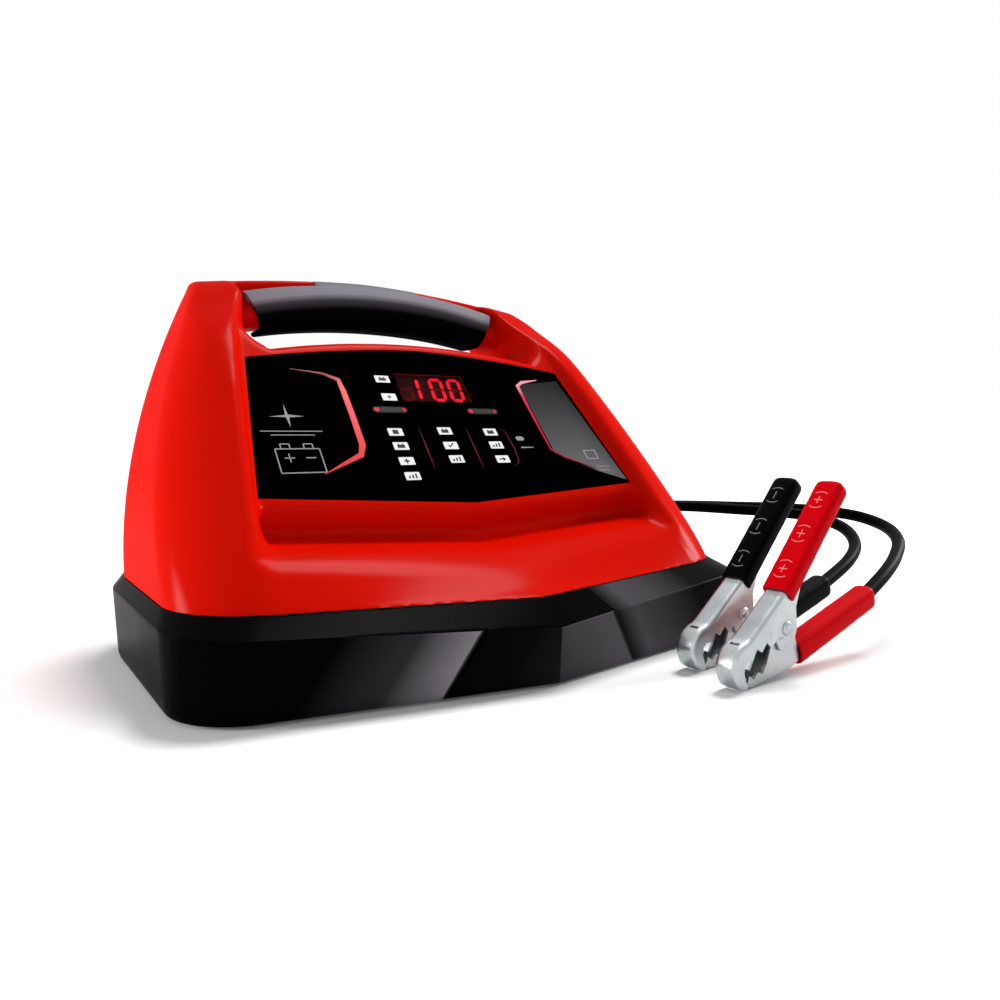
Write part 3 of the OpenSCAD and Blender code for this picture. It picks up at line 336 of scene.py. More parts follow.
def skin(name: str, solid: Field, low: Sequence[float], high: Sequence[float], step: float) -> Mesh:
    """Closed quad surface where a field is zero.

    One point goes into each grid cell that the surface crosses, at the mean of the
    crossings on the cell's edges. Quads join the four cells round each crossed edge.
    The points are then evened out along the surface and drawn onto it along the
    field's slope.

    Args:
        name: The mesh's name.
        solid: The field.
        low: Lowest corner of the grid.
        high: Highest corner of the grid.
        step: Grid spacing.

    Returns:
        The mesh.
    """
    axes = [np.arange(low[k], high[k] + step, step) for k in range(3)]
    grid = np.meshgrid(*axes, indexing="ij")
    f = solid(*grid)
    nx, ny, nz = f.shape
    total = np.zeros((nx - 1, ny - 1, nz - 1, 3))
    count = np.zeros((nx - 1, ny - 1, nz - 1))
    quads = []
    number = np.full((nx - 1, ny - 1, nz - 1), -1)
    crossings = []
    for axis in range(3):
        a = np.take(f, range(f.shape[axis] - 1), axis)
        b = np.take(f, range(1, f.shape[axis]), axis)
        crossed = (a < 0) != (b < 0)
        t = np.where(crossed, a / np.where(crossed, a - b, 1), 0)
        place = [np.take(g, range(f.shape[axis] - 1), axis) for g in grid]
        place[axis] = place[axis] + t * step
        where = np.stack(place, -1) * crossed[..., None]
        others = [k for k in range(3) if k != axis]
        for d0 in (0, 1):
            for d1 in (0, 1):
                cut = [slice(None)] * 3
                cut[others[0]] = slice(d0, d0 + f.shape[others[0]] - 1)
                cut[others[1]] = slice(d1, d1 + f.shape[others[1]] - 1)
                total += where[tuple(cut)]
                count += crossed[tuple(cut)]
        crossings.append((axis, crossed, a < 0))
    active = count > 0
    number[active] = np.arange(active.sum())
    points = total[active] / count[active][:, None]
    for axis, crossed, leaves in crossings:
        at = np.argwhere(crossed)
        u, v = [(1, 2), (2, 0), (0, 1)][axis]
        keep = (at[:, u] > 0) & (at[:, v] > 0) & (at[:, u] < f.shape[u] - 1) & (at[:, v] < f.shape[v] - 1)
        at = at[keep]
        out = leaves[crossed][keep]
        corner = []
        for du, dv in ((-1, -1), (0, -1), (0, 0), (-1, 0)):
            cell = at.copy()
            cell[:, u] += du
            cell[:, v] += dv
            corner.append(number[tuple(cell.T)])
        quad = np.stack(corner, -1)
        quads.append(np.where(out[:, None], quad, quad[:, ::-1]))
    faces = np.vstack(quads)
    points = drawn_onto(solid, points, faces, step)
    log.info("%s: %d points from a grid of %d", name, len(points), f.size)
    return new_mesh(name, points, faces)


def slope(solid: Field, p: Array) -> tuple[Array, Array]:
    """Value of a field at points and its slope there, from central differences."""
    e = 0.05
    value = solid(p[:, 0], p[:, 1], p[:, 2])
    parts = []
    for k in range(3):
        d = np.zeros(3)
        d[k] = e
        q, r = p + d, p - d
        parts.append((solid(q[:, 0], q[:, 1], q[:, 2]) - solid(r[:, 0], r[:, 1], r[:, 2])) / (2 * e))
    return value, np.stack(parts, -1)


def drawn_onto(solid: Field, points: Array, faces: Array, step: float) -> Array:
    """Evens points out along a surface and brings them onto it.

    Each pass moves a point towards the mean of its neighbours, less the share along
    the field's slope, then back by the field's value divided by the slope's size.
    """
    a = np.concatenate([faces[:, k] for k in range(4)])
    b = np.concatenate([faces[:, (k + 1) % 4] for k in range(4)])
    n = len(points)
    degree = np.bincount(a, minlength=n) + np.bincount(b, minlength=n)
    start = points.copy()
    for turn in range(4):
        mean = np.stack(
            [
                np.bincount(a, points[b, k], n) + np.bincount(b, points[a, k], n)
                for k in range(3)
            ],
            -1,
        ) / degree[:, None]
        value, grad = slope(solid, points)
        size = np.maximum((grad**2).sum(1), 0.05)
        if turn < 3:
            move = (mean - points) * 0.5
            move -= grad * ((move * grad).sum(1) / size)[:, None]
            points = points + move
            value, grad = slope(solid, points)
            size = np.maximum((grad**2).sum(1), 0.05)
        points = points - grad * (np.clip(value, -step, step) / size)[:, None]
        points = start + np.clip(points - start, -1.2 * step, 1.2 * step)
    return points


# ---------- housing ----------


@dataclass(frozen=True)
class Panel:
    """The sloped display panel's frame: u across, v up the slope, n out of the face."""

    lean: float = 40.4
    top_y: float = 23.0
    top_z: float = 152.0
    side: float = 88.0
    vee: float = 8.4
    arch: float = 12.0
    half_top: float = 98.0
    half_low: float = 111.0
    depth: float = 8.0

    def place(self, p: Array) -> Array:
        """Takes rows u, v, n to the model's frame: a turn about x by 90 degrees less the lean."""
        s, c = sin_cos(90 - self.lean)
        p = np.asarray(p, float)
        y = self.top_y + c * p[:, 1] - s * p[:, 2]
        z = self.top_z + s * p[:, 1] + c * p[:, 2]
        return np.stack([p[:, 0], y, z], -1)

    def local(self, y: Array, z: Array) -> tuple[Array, Array]:
        """Distance up the slope and out of the face, the turn of place taken back."""
        s, c = sin_cos(90 - self.lean)
        dy, dz = y - self.top_y, z - self.top_z
        return c * dy + s * dz, c * dz - s * dy

    def face_y(self, z: Array) -> Array:
        """Where the panel's face lies at a height."""
        return self.top_y + (z - self.top_z) * math.tan(math.radians(self.lean))

    def outline(self, grow: float) -> Array:
        """Outline of the sheet: a shallow vee below, straight sides and an arched top."""
        k = np.linspace(1, -1, 33)
        k = k[1:-1]
        arch = np.stack([self.half_top * k, self.arch * (1 - np.abs(k) ** 1.6) + grow], -1)
        low = [[0, -self.side - self.vee - grow], [self.half_low + grow, -self.side - grow]]
        ends = [[-self.half_top - grow, grow], [-self.half_low - grow, -self.side - grow]]
        return np.vstack([low, [[self.half_top + grow, grow]], arch, ends])


@dataclass(frozen=True)
class Housing:
    """The red housing as one rounded field, split into a front and a rear shell."""

    panel: Panel = field(default_factory=Panel)
    seam_h: float = 42.0
    seam_dip: float = 3.5
    seam_gap: float = 0.3
    half_w: float = 154.0
    shoulder_half: float = 107.0
    shoulder_z: float = 199.0
    body_h: float = 208.0
    crest_drop: float = 9.0
    back: float = 105.0
    nose: float = 26.0
    skirt_h: float = 18.0
    upper_z: float = 170.0
    edge_r: float = 5.0
    wall: float = 2.8
    part_y: float = 75.0
    grip_front: float = 69.0
    grip_t: float = 3.2
    grip_gap: float = 0.25
    grip_under_z: float = 176.5
    spine_y: float = 91.5
    lift: float = 0.0065
    taper: float = 1.8
    pillar_from: float = 60.0
    pillar_fade: float = 32.0
    roll_start: float = 96.0
    roll_y: float = 64.0
    roll_curve: float = 0.0125
    roll_fade: float = 46.0
    fall_start: float = 24.0
    fall_curve: float = 0.01
    grip_under_drop: float = 5.5
    grip_under_half: float = 72.0
    grip_top_z: float = 203.6
    grip_top_drop: float = 10.6
    grip_top_half: float = 83.0
    sill_z: float = 166.0
    sill_drop: float = 7.0
    sill_half: float = 80.0
    room_half: float = 112.0
    room_floor: float = 58.5
    room_climb: float = 6.5

    def crest(self, x: Array) -> Array:
        """Height of the top line: a gentle power curve down to the shoulders."""
        return self.body_h - self.crest_drop * np.minimum(1, np.abs(x) / self.shoulder_half) ** 1.7

    def width(self, z: Array) -> Array:
        """Half width at a level: straight near the seam, drawn in towards the shoulders."""
        s = np.maximum(0, (z - self.seam_h) / (self.shoulder_z - self.seam_h))
        return self.shoulder_half + (self.half_w - self.shoulder_half) * (1 - s**self.taper)

    def nose_at(self, z: Array) -> Array:
        """How far the middle of the front stands out at a level: a flared skirt."""
        return 2 + (self.nose - 2) * np.maximum(0, 1 - (z - self.seam_h) / self.skirt_h) ** 1.5

    def front(self, z: Array) -> Array:
        """Front face at a level: parallel to the panel, leaning further back at the top."""
        lift = self.lift * np.maximum(0, z - self.panel.top_z) ** 2
        return self.panel.face_y(z) - self.panel.depth + 0.29 * self.nose_at(z) + lift

    def front_height(self, y: Array) -> Array:
        """Height of the front face at a depth: front() solved for z."""
        slope = math.tan(math.radians(self.panel.lean))
        past = y - self.front(np.array(self.panel.top_z))
        bent = (np.sqrt(slope**2 + 4 * self.lift * np.maximum(past, 0)) - slope) / (2 * self.lift)
        return self.panel.top_z + np.where(past < 0, past / slope, bent)

    def roll_off(self, x: Array, y: Array) -> Array:
        """How far the top of a pillar lies under the crest line.

        A parabola from the spine forwards, to the depth where it runs parallel to the
        front face; from there an S curve brings it back onto that face.
        """
        start, turn = self.roll_start, self.roll_y
        parabola = self.roll_curve * np.maximum(0, start - y) ** 2
        under = self.front_height(np.array(turn)) - self.crest(x) + self.roll_curve * (start - turn) ** 2
        share = np.clip((turn - y) / self.roll_fade, 0, 1)
        fall = self.fall_curve * np.maximum(0, self.fall_start - y) ** 2
        gap = under * (1 - share * share * (3 - 2 * share)) - fall
        return np.where(y > turn, parabola, self.crest(x) - self.front_height(y) + gap)

    def outer(self, x: Array, y: Array, z: Array) -> Array:
        """Field of the whole rounded body.

        At each level it is the distance to a plan outline: two front lines that meet in
        a shallow point, a side and a rear line, and an arc at each corner. It is divided
        by the wall's steepness, and shares its top edge with the crest line.
        """
        side = np.abs(x)
        dip = self.seam_dip * np.clip(1 - (z - self.seam_h) / self.skirt_h, 0, 1)
        low = z + dip * (1 - np.minimum(1, side / self.half_w))
        span = self.shoulder_z - self.edge_r - self.upper_z
        stretch = span / (self.crest(x) - self.edge_r - self.upper_z)
        level = np.where(z <= self.upper_z, low, self.upper_z + (z - self.upper_z) * stretch)
        level = np.clip(level, self.seam_h, self.upper_z + span)
        s = (level - self.seam_h) / (self.shoulder_z - self.seam_h)
        w, nose, front = self.width(level), self.nose_at(level), self.front(level)
        rf = np.maximum(3, 38 - 24 * s * s)
        rb = np.maximum(4, 64 - 48 * s)
        lean = np.where(z <= self.upper_z, 1, stretch)
        bend = 2 * self.lift * np.maximum(0, level - self.panel.top_z)
        lean = lean * (math.tan(math.radians(self.panel.lean)) + bend)
        draw = (self.half_w - self.shoulder_half) * self.taper * np.maximum(s, 0.01) ** (self.taper - 1)
        draw = draw / (self.shoulder_z - self.seam_h)
        a = np.arctan2(nose, w)
        sa, ca = np.sin(a), np.cos(a)
        soft = np.sqrt(x * x + 16) - 4
        d_front = soft * sa - (y - (front - nose)) * ca
        plan = np.maximum(np.maximum(d_front / np.hypot(1, lean), (side - w) / np.hypot(1, draw)), y - self.back)
        cx = w - rf
        cy = front - nose + (rf + cx * sa) / ca
        qx, qy = side - cx, y - cy
        reach = np.maximum(np.hypot(qx, qy), 1e-6)
        steep = np.sqrt(1 + (lean * qy / reach) ** 2 + (draw * qx / reach) ** 2)
        plan = np.where((qx * ca + qy * sa > 0) & (qy < 0), (reach - rf) / steep, plan)
        qx, qy = side - (w - rb), y - (self.back - rb)
        reach = np.hypot(qx, qy)
        plan = np.where((qx > 0) & (qy > 0), (reach - rb) / np.hypot(1, draw), plan)
        pillar = np.clip((side - self.pillar_from) / self.pillar_fade, 0, 1)
        roll = self.roll_off(x, y) * pillar * pillar * (3 - 2 * pillar)
        return common(plan, z - self.crest(x) + roll, self.edge_r)

    def front_room(self, x: Array, y: Array, z: Array) -> Array:
        """Field of the room in front of the panel and in the shelf under it.

        At each x its back is one line: the panel's plane down to the lower edge, which
        follows the sheet's vee, then a cove that swings back by an S curve. The edge
        between the two is rounded. A floor line that climbs outwards ends it below, and
        flared walls end it beside the panel.
        """
        panel = self.panel
        v, n = panel.local(y, z)
        share = np.minimum(1, np.abs(x) / self.room_half)
        low = panel.side + 2.8 + panel.vee * (1 - share)
        zb = panel.top_z - low * math.cos(math.radians(panel.lean))
        yb = panel.face_y(zb)
        t = np.clip((zb - z) / 15, 0, 1)
        cove = yb - 0.4 + 6.5 * t * t * (3 - 2 * t)
        face = panel.face_y(z)
        line = np.maximum(face, cove) + np.maximum(3 - np.abs(face - cove), 0) ** 2 / 12
        floor = self.room_floor + self.room_climb * share - z + 0.05 * (y - yb)
        flare = np.clip(n / panel.depth, 0, 1) * 4
        d_side = (np.abs(x) - self.room_half) * 0.992 + (np.maximum(v, -100) + 89) * 0.125 - flare
        room = common((y - line) * 0.8, floor, 6)
        return common(room, d_side, 1.2 + 4.8 * np.clip((zb + 2 - z) / 6, 0, 1))

    def grip_under(self, x: Array) -> Array:
        """Underside of the grip: a shallow arch."""
        return self.grip_under_z - self.grip_under_drop * (x / self.grip_under_half) ** 2

    def grip_top(self, x: Array) -> Array:
        """Top of the grip: a flatter arch."""
        return self.grip_top_z - self.grip_top_drop * (x / self.grip_top_half) ** 2

    def hand_hole(self, x: Array, y: Array, z: Array) -> Array:
        """Field of the hand hole and of the seat that the grip is let into."""
        xc = np.clip(x, -86, 86)
        shell = self.grip_t + self.grip_gap
        zc = self.sill_z - self.sill_drop * (xc / self.sill_half) ** 2
        yc = self.panel.face_y(zc)
        zb, zt = self.grip_under(xc) + shell, self.grip_top(xc) - shell
        bar = self.grip_front + shell
        corners = [(yc - 2, 240), (yc - 2, zc), (yc + 6, zc - 1.5), (yc + 13, zc - 9), (yc + 18, 145)]
        corners += [(yc + 24, 141), (140, 141), (140, zb), (bar + 5, zb), (bar, zb + 5), (bar, zt - 7)]
        corners += [(bar + 7, zt), (self.spine_y, zt), (self.spine_y, 240)]
        hole = common(polygon_distance(y, z, corners), np.abs(x) - 85, 3)
        side = np.abs(x)
        rim = np.maximum(side - 96 + (y - 20) * 0.04, (side - 84) * 0.93 + (y - bar + 0.5) * 0.37)
        seat = np.maximum(common(rim, zc - z, 18), np.maximum(20 - y, y - bar + 0.5))
        return np.minimum(hole, seat)

    def body(self, x: Array, y: Array, z: Array) -> Array:
        """Field of the body with the panel well, shelf and hand hole taken out, edges rounded."""
        soft = 3.5 + 6.5 * np.clip((74 - z) / 12, 0, 1)
        f = common(self.outer(x, y, z), -self.front_room(x, y, z), soft)
        f = common(f, -self.hand_hole(x, y, z), 3.4)
        return np.maximum(f, 30 - z)

    def cavity(self, x: Array, y: Array, z: Array) -> Array:
        """Field of the room inside: the body one wall further in, less the screw bosses."""
        f = self.body(x, y, np.maximum(z, 32)) + self.wall
        boss = np.hypot(np.abs(x) - SCREW[0], z - SCREW[1]) - 7
        f = np.maximum(f, -np.maximum(boss, 94 - y))
        return np.maximum(f, 20 - z)

    def seam_block(self) -> Mesh:
        """Cutting block under the seam, whose top follows the seam's shallow vee."""
        top = self.seam_h + self.seam_gap
        ends = top + self.seam_dip * (200 / self.half_w - 1)
        outline = [[-200, -50], [200, -50], [200, ends], [0, top - self.seam_dip], [-200, ends]]
        flip = lambda p: np.stack([p[:, 0], -p[:, 2], p[:, 1]], -1)
        return prism("seam", np.array(outline), -200, 200, flip)

    def shells(self, step: float) -> tuple[Mesh, Mesh]:
        """Front and rear shell as hollow closed meshes.

        Args:
            step: Grid spacing of the outer surface.

        Returns:
            The front and the rear mesh.
        """
        outside = skin("outside", self.body, (-161.0, -112.0, 26.0), (161.0, 112.0, 214.0), step)
        inside = skin("room", self.cavity, (-161.0, -112.0, 16.0), (161.0, 112.0, 214.0), 4)
        hollow = cut(outside, inside, self.seam_block())
        halves = []
        for near, far in ((-200, self.part_y - 0.12), (self.part_y + 0.12, 200)):
            half = cuboid((-300, near, -50), (300, far, 300))
            halves.append(shape(hollow.copy(), half, Operation.KEEP_COMMON))
        bpy.data.meshes.remove(hollow)
        return halves[0], halves[1]

    def dressed(self, finishes: "Finishes", step: float) -> None:
        """Builds both shells with their openings and adds them to the charger."""
        front, rear = self.shells(step)
        place = self.panel.place
        front = cut(front, prism("sheet", self.panel.outline(self.seam_gap), -1.2, 4, place))
        openings = [at(rounded_box(44.3, 21.3, 0.6), WINDOW)]
        openings += [at(pill(20.6, 4.6), (side * BUTTON[0], BUTTON[1])) for side in SIDES]
        front = cut(front, *[prism("opening", opening, -9, 3, place) for opening in openings], self.oval_hole())
        front, rear = (cut(half, cuboid((-34.25, 90.5, 203.4), (34.25, 140, 240))) for half in (front, rear))
        for side in SIDES:
            screw = (side * SCREW[0], 0, SCREW[1])
            rear = cut(rear, drum(screw, "y", 4.0, 98, 130), drum(screw, "y", 2.0, 60, 99))
        rear = cut(rear, drum((INLET[0], 0, INLET[1]), "y", 6.1, 96, 120))
        slots = [slot_block(38, 82, 95, 115, 90 + 6 * (k - 4) - 1.5, 3.0) for k in range(9)]
        rear = cut(rear, merged(slots))
        finished("front_housing", front, finishes.shell, "shell_red", ["front_shell"], sharp=40)
        finished("rear_housing", rear, finishes.shell, "shell_red", ["rear_shell"], sharp=40)

    def oval_hole(self) -> Mesh:
        """Cutting block for the hole that the lead gland sits in."""
        ring = at(stadium(4.1, 6.05, 12), GLAND)
        turn = lambda p: np.stack([p[:, 2], p[:, 0], p[:, 1]], -1)
        return prism("oval", ring, 143, 162, turn)


# ---------- flat outlines and small solids ----------


def rounded_box(length: float, width: float, r: float, n: int = 5) -> Array:
    """Outline of a box with rounded corners: four quarter arcs round the middle."""
    rows = []
    for k, (sx, sy) in enumerate(((1, 1), (-1, 1), (-1, -1), (1, -1))):
        a = np.linspace(k * math.pi / 2, (k + 1) * math.pi / 2, n)
        rows.append(np.c_[sx * (length / 2 - r) + r * np.cos(a), sy * (width / 2 - r) + r * np.sin(a)])
    return np.vstack(rows)


def at(outline: Array, place: Sequence[float]) -> Array:
    """Moves an outline to a place."""
    return np.asarray(outline, float) + np.asarray(place, float)


def pill(length: float, width: float, n: int = 10) -> Array:
    """Outline of a bar with round ends."""
    return rounded_box(length, width, width / 2 - 0.001, n)


def stadium(half_gap: float, r: float, n: int = 12) -> Array:
    """Outline round two circles of radius r set half_gap to each side."""
    return rounded_box(2 * (half_gap + r), 2 * r, r - 0.001, n)


def merged(meshes: Sequence[Mesh]) -> Mesh:
    """One mesh that holds several closed ones, which are used up."""
    work = bmesh.new()
    for mesh in meshes:
        work.from_mesh(mesh)
        bpy.data.meshes.remove(mesh)
    result = bpy.data.meshes.new("merged")
    work.to_mesh(result)
    work.free()
    return result


def slot_block(x0: float, x1: float, y0: float, y1: float, z0: float, height: float) -> Mesh:
    """Cutting block for a vent slot with round ends, its length along x."""
    ring = pill(x1 - x0, height) + np.array([(x0 + x1) / 2, z0 + height / 2])
    flip = lambda p: np.stack([p[:, 0], -p[:, 2], p[:, 1]], -1)
    return prism("slot", ring, -y1, -y0, flip)


def placed(rings: Array, place: Place) -> Array:
    """Takes a stack of rings to the model's frame."""
    return place(rings.reshape(-1, 3)).reshape(rings.shape)


def turned(name: str, profile: Array, place: Place, n: int = 48) -> Mesh:
    """Round solid: a profile of radius and height turned about the third axis.

    Args:
        name: The mesh's name.
        profile: Rows of radius and height, from the first end to the last.
        place: Takes rows in the solid's own frame to the model's frame.
        n: Steps round the axis.

    Returns:
        The closed mesh.
    """
    profile = np.asarray(profile, float)
    a = np.linspace(0, 2 * math.pi, n, endpoint=False)
    rings = np.stack(
        [
            profile[:, :1] * np.cos(a),
            profile[:, :1] * np.sin(a),
            np.repeat(profile[:, 1:2], n, 1),
        ],
        -1,
    )
    return outward(loft(name, placed(rings, place)))


def spline(control: Array, n: int) -> Array:
    """Smooth line through given points.

    A Catmull-Rom curve: each span is the cubic through its two points whose slopes
    there are half the distance between the neighbours.
    """
    p = np.asarray(control, float)
    q = np.vstack([2 * p[0] - p[1], p, 2 * p[-1] - p[-2]])
    t = (np.arange(n) / n)[None, :, None]
    a, b, c, d = (q[k : len(q) - 3 + k][:, None, :] for k in range(4))
    curve = 0.5 * (
        2 * b + (c - a) * t + (2 * a - 5 * b + 4 * c - d) * t * t + (3 * b - a - 3 * c + d) * t**3
    )
    return np.vstack([curve.reshape(-1, p.shape[1]), p[-1:]])


def rounded(corners: Array, times: int = 2) -> Array:
    """Closed outlines with their corners cut twice over.

    Each pass puts two points on every side, a quarter of the way in from its ends.
    """
    p = np.asarray(corners, float)
    for _ in range(times):
        following = np.roll(p, -1, axis=-2)
        p = np.stack([0.75 * p + 0.25 * following, 0.25 * p + 0.75 * following], -2)
        p = p.reshape(*p.shape[:-3], -1, p.shape[-1])
    return p


def tube(name: str, path: Array, radius: float, n: int, first: Array, last: Array, across: Array) -> Mesh:
    """Round tube along a line, each ring set square to the line.

    Args:
        name: The mesh's name.
        path: Points of the middle line.
        radius: The tube's radius.
        n: Points in a ring.
        first: Direction of the line at its start.
        last: Direction at its end.
        across: A direction that the line is never parallel to.

    Returns:
        The closed mesh.
    """
    along = np.vstack([first, path[2:] - path[:-2], last])
    along /= np.linalg.norm(along, axis=1)[:, None]
    u = np.cross(across, along)
    u /= np.linalg.norm(u, axis=1)[:, None]
    v = np.cross(along, u)
    a = 2 * math.pi * (np.arange(n) + 0.5) / n
    rings = path[:, None] + radius * (np.cos(a)[:, None] * u[:, None] + np.sin(a)[:, None] * v[:, None])
    return loft(name, rings)


# ---------- base tray ----------


@dataclass(frozen=True)
class Tray:
    """The black base tray with its sloped rim, diagonal grooves and feet."""

    half_w: float = 159.0
    front: float = 84.0
    back: float = 111.0
    nose: float = 27.0
    r_front: float = 36.0
    r_back: float = 66.0
    wall_h: float = 36.0
    dip: float = 9.0
    wall: float = 3.0
    rim_half: float = 154.5
    rim_front: float = -70.55
    rim_back: float = 106.5
    rim_nose: float = 26.0
    rim_h: float = 42.0
    rim_dip: float = 3.5
    groove_top: float = 37.0
    groove_low: float = 54.0
    groove_w: float = 3.0
    groove_depth: float = 1.6
    foot_r: float = 9.0
    feet: tuple[tuple[float, float], ...] = ((112, -62), (98, 64))
    posts: tuple[tuple[float, float], ...] = ((132, -40), (141, 8), (104, 88))

    def ring(
        self, w: float, front: float, nose: float, rf: float, back: float, rb: float, z: float, dip: float
    ) -> Array:
        """One level of the tray.

        A front line from the middle to a tangent arc, an arc at the rear corner, a
        straight rear, mirrored; each point sinks towards the middle by dip.
        """
        a = math.atan2(nose, w)
        cx = w - rf
        cy = front - nose + (rf + cx * math.sin(a)) / math.cos(a)
        x = (cx + rf * math.sin(a)) * np.arange(10) / 10
        line = np.c_[x, front - nose + x * math.tan(a)]
        t = np.linspace(a - math.pi / 2, 0, 17)
        corner = np.c_[cx + rf * np.cos(t), cy + rf * np.sin(t)]
        t = np.linspace(0, math.pi / 2, 19)
        rear = np.c_[w - rb + rb * np.cos(t), back - rb + rb * np.sin(t)]
        flat = np.c_[(w - rb) * np.arange(5, 0, -1) / 6, np.full(5, back)]
        half = np.vstack([line[1:], corner, rear, flat])
        xy = np.vstack([line[:1], half, [[0, back]], half[::-1] * [-1, 1]])
        return np.c_[xy, z - dip * (1 - np.abs(xy[:, 0]) / w)]

    def level(self, inset: float, z: float, dip: float = 0.0) -> Array:
        """A level of the wall, shrunk by inset."""
        return self.ring(
            self.half_w - inset,
            -self.front + inset,
            self.nose,
            self.r_front - inset,
            self.back - inset,
            self.r_back - inset,
            z,
            dip,
        )

    def mesh(self) -> Mesh:
        """The tray as one closed surface: up the outside, over the rim, down the inside."""
        foot, top = self.level(1.5, 4), self.level(0, self.wall_h, self.dip)
        rim = self.ring(self.rim_half, self.rim_front, self.rim_nose, 38, self.rim_back, 62, self.rim_h, self.rim_dip)
        lip = self.ring(
            self.rim_half - 3, self.rim_front + 3.9, self.rim_nose, 35, self.rim_back - 3, 59, self.rim_h, self.rim_dip
        )
        rows = [self.level(3.2, 1), self.level(2.6, 1.2), self.level(2.2, 1.7), self.level(1.9, 2.6)]
        rows += [foot + (top - foot) * t for t in (0, 0.15, 0.3, 0.45, 0.6, 0.75, 0.88, 0.95, 0.985)]
        rows += [top + (rim - top) * t for t in (0.04, 0.15, 0.35, 0.6, 0.85, 1.0)]
        rows += [rim + (lip - rim) * t for t in (0.5, 1.0)]
        rows += [self.level(self.wall + 1, 22), self.level(4.5, 7), self.level(6.5, 4)]
        return loft("tray", np.stack(rows))

    def groove(self, side: int) -> Mesh:
        """Cutting block of one diagonal groove, laid in the front wall."""
        slant = math.atan2(self.groove_low - self.groove_top, self.wall_h - self.dip)
        turn = math.atan2(self.nose, self.half_w)
        top = self.wall_h - self.dip * (1 - self.groove_top / self.half_w)
        lean = math.atan2(1.5, top)
        y0 = -self.front - self.nose + self.groove_top * math.tan(turn)

        def place(p: Array) -> Array:
            """Turns about y, x and z in that order, moves to the wall's top, then mirrors."""
            x = p[:, 0] * math.cos(slant) - p[:, 2] * math.sin(slant)
            z = p[:, 0] * math.sin(slant) + p[:, 2] * math.cos(slant)
            y = p[:, 1] * math.cos(lean) - z * math.sin(lean)
            z = p[:, 1] * math.sin(lean) + z * math.cos(lean)
            q = np.c_[x * math.cos(turn) - y * math.sin(turn), x * math.sin(turn) + y * math.cos(turn), z]
            q += [self.groove_top, y0, top]
            return q * [side, 1, 1]

        h = self.groove_w / 2
        right = np.array([[h + 1.2, -5], [h + 1.2, -1.4], [h * 0.5, self.groove_depth]])
        outline = np.vstack([[[-h - 1.2, -5]], right, (right * [-1, 1])[:0:-1]])
        return outward(prism("groove", outline, -60, 10, place))

    def dressed(self, finishes: "Finishes") -> None:
        """Builds the tray and its feet and adds them to the charger."""
        tray = self.mesh()
        for side in SIDES:
            wells = [drum((side * x, y, 0), "z", self.foot_r + 0.1, -2, 2) for x, y in self.feet]
            wells += [drum((side * x, y, 0), "z", 4.2, -2, 3.4) for x, y in self.posts]
            tray = cut(tray, self.groove(side), *wells)
        finished("tray", tray, finishes.tray, "tray_black", ["base_tray"], sharp=24)
        profile = [[3.2, 0.7], [4.2, 0.65], [4.8, 0.1], [5.4, 0], [7.8, 0], [8.6, 0.2], [9, 0.8], [9, 1.95], [8.8, 2]]
        places = [(side * x, y, 0) for side in SIDES for x, y in self.feet]
        feet = [turned("foot", profile, lambda p, c=place: p + np.array(c)) for place in places]
        finished("feet", merged(feet), finishes.foot, "foot_rubber", ["rubber_feet"])


# ---------- handle grip ----------


@dataclass(frozen=True)
class Grip:
    """The soft grip: an open C-shaped sleeve on the bar, with a tab over the spine."""

    housing: Housing = field(default_factory=Housing)
    half_low: float = 72.0
    widen: float = 0.46
    back: float = 96.0

    def sections(self, corners: Sequence[tuple[object, object]], x: Array) -> Array:
        """Rows of y, z corners at each x, where a corner's place is a number or one for each x."""
        return np.stack([np.stack(np.broadcast_arrays(y, z, x)[:2], -1) for y, z in corners], 1).astype(float)

    def mesh(self) -> Mesh:
        """The sleeve: a rounded C section carried along an arch, its ends cut slanting."""
        h = self.housing
        t = np.linspace(-1, 1, 49)
        x = 78 * t
        zt, zu = h.grip_top(x), h.grip_under(x)
        y0, yi = h.grip_front, h.grip_front + h.grip_t
        ti, ui = zt - h.grip_t, zu + h.grip_t
        end = h.spine_y - h.grip_gap
        corners = [(end, zt), (y0 + 10, zt), (y0 + 3, zt - 2.0), (y0 - 0.3, zt - 10), (y0 - 0.3, zu + 8)]
        corners += [(y0 + 2, zu + 1.4), (y0 + 8, zu), (self.back, zu), (self.back, ui), (yi + 5, ui)]
        corners += [(yi, ui + 5), (yi, ti - 7), (yi + 7, ti), (end, ti)]
        section = rounded(self.sections(corners, x), 2)
        low = h.grip_under(self.half_low)
        reach = self.half_low + (section[..., 1] - low) * self.widen
        place = np.stack([t[:, None] * reach, section[..., 0], section[..., 1]], -1)
        return capped("grip", place)

    def tab(self) -> Mesh:
        """The tab: from the sleeve's top up over the spine and round its rear edge."""
        h = self.housing
        x = np.linspace(-34, 34, 25)
        crest, top = h.crest(x), h.grip_top(x)
        base = float(h.crest(np.array([34.0]))[0]) - 3.0
        corners = [(104.9, base), (104.9, np.maximum(crest - 4, base + 0.2)), (102.4, crest - 0.6), (98, crest)]
        corners += [(93.5, crest), (90, crest - 0.9), (84, top + 0.8), (78, top - 1.0), (80, top - 2.5)]
        corners += [(91, base - 0.5), (92, base)]
        section = self.sections(corners, x)
        place = np.concatenate([np.repeat(x[:, None, None], len(corners), 1), section], -1)
        return capped("tab", place)

    def dressed(self, finishes: "Finishes") -> None:
        """Builds the grip and adds it to the charger."""
        grip = shape(outward(self.mesh()), outward(self.tab()), Operation.JOIN)
        finished("grip", grip, finishes.grip, "grip_rubber", ["handle_grip"], bevel=0.7, sharp=38, segments=3)


# ---------- display panel ----------


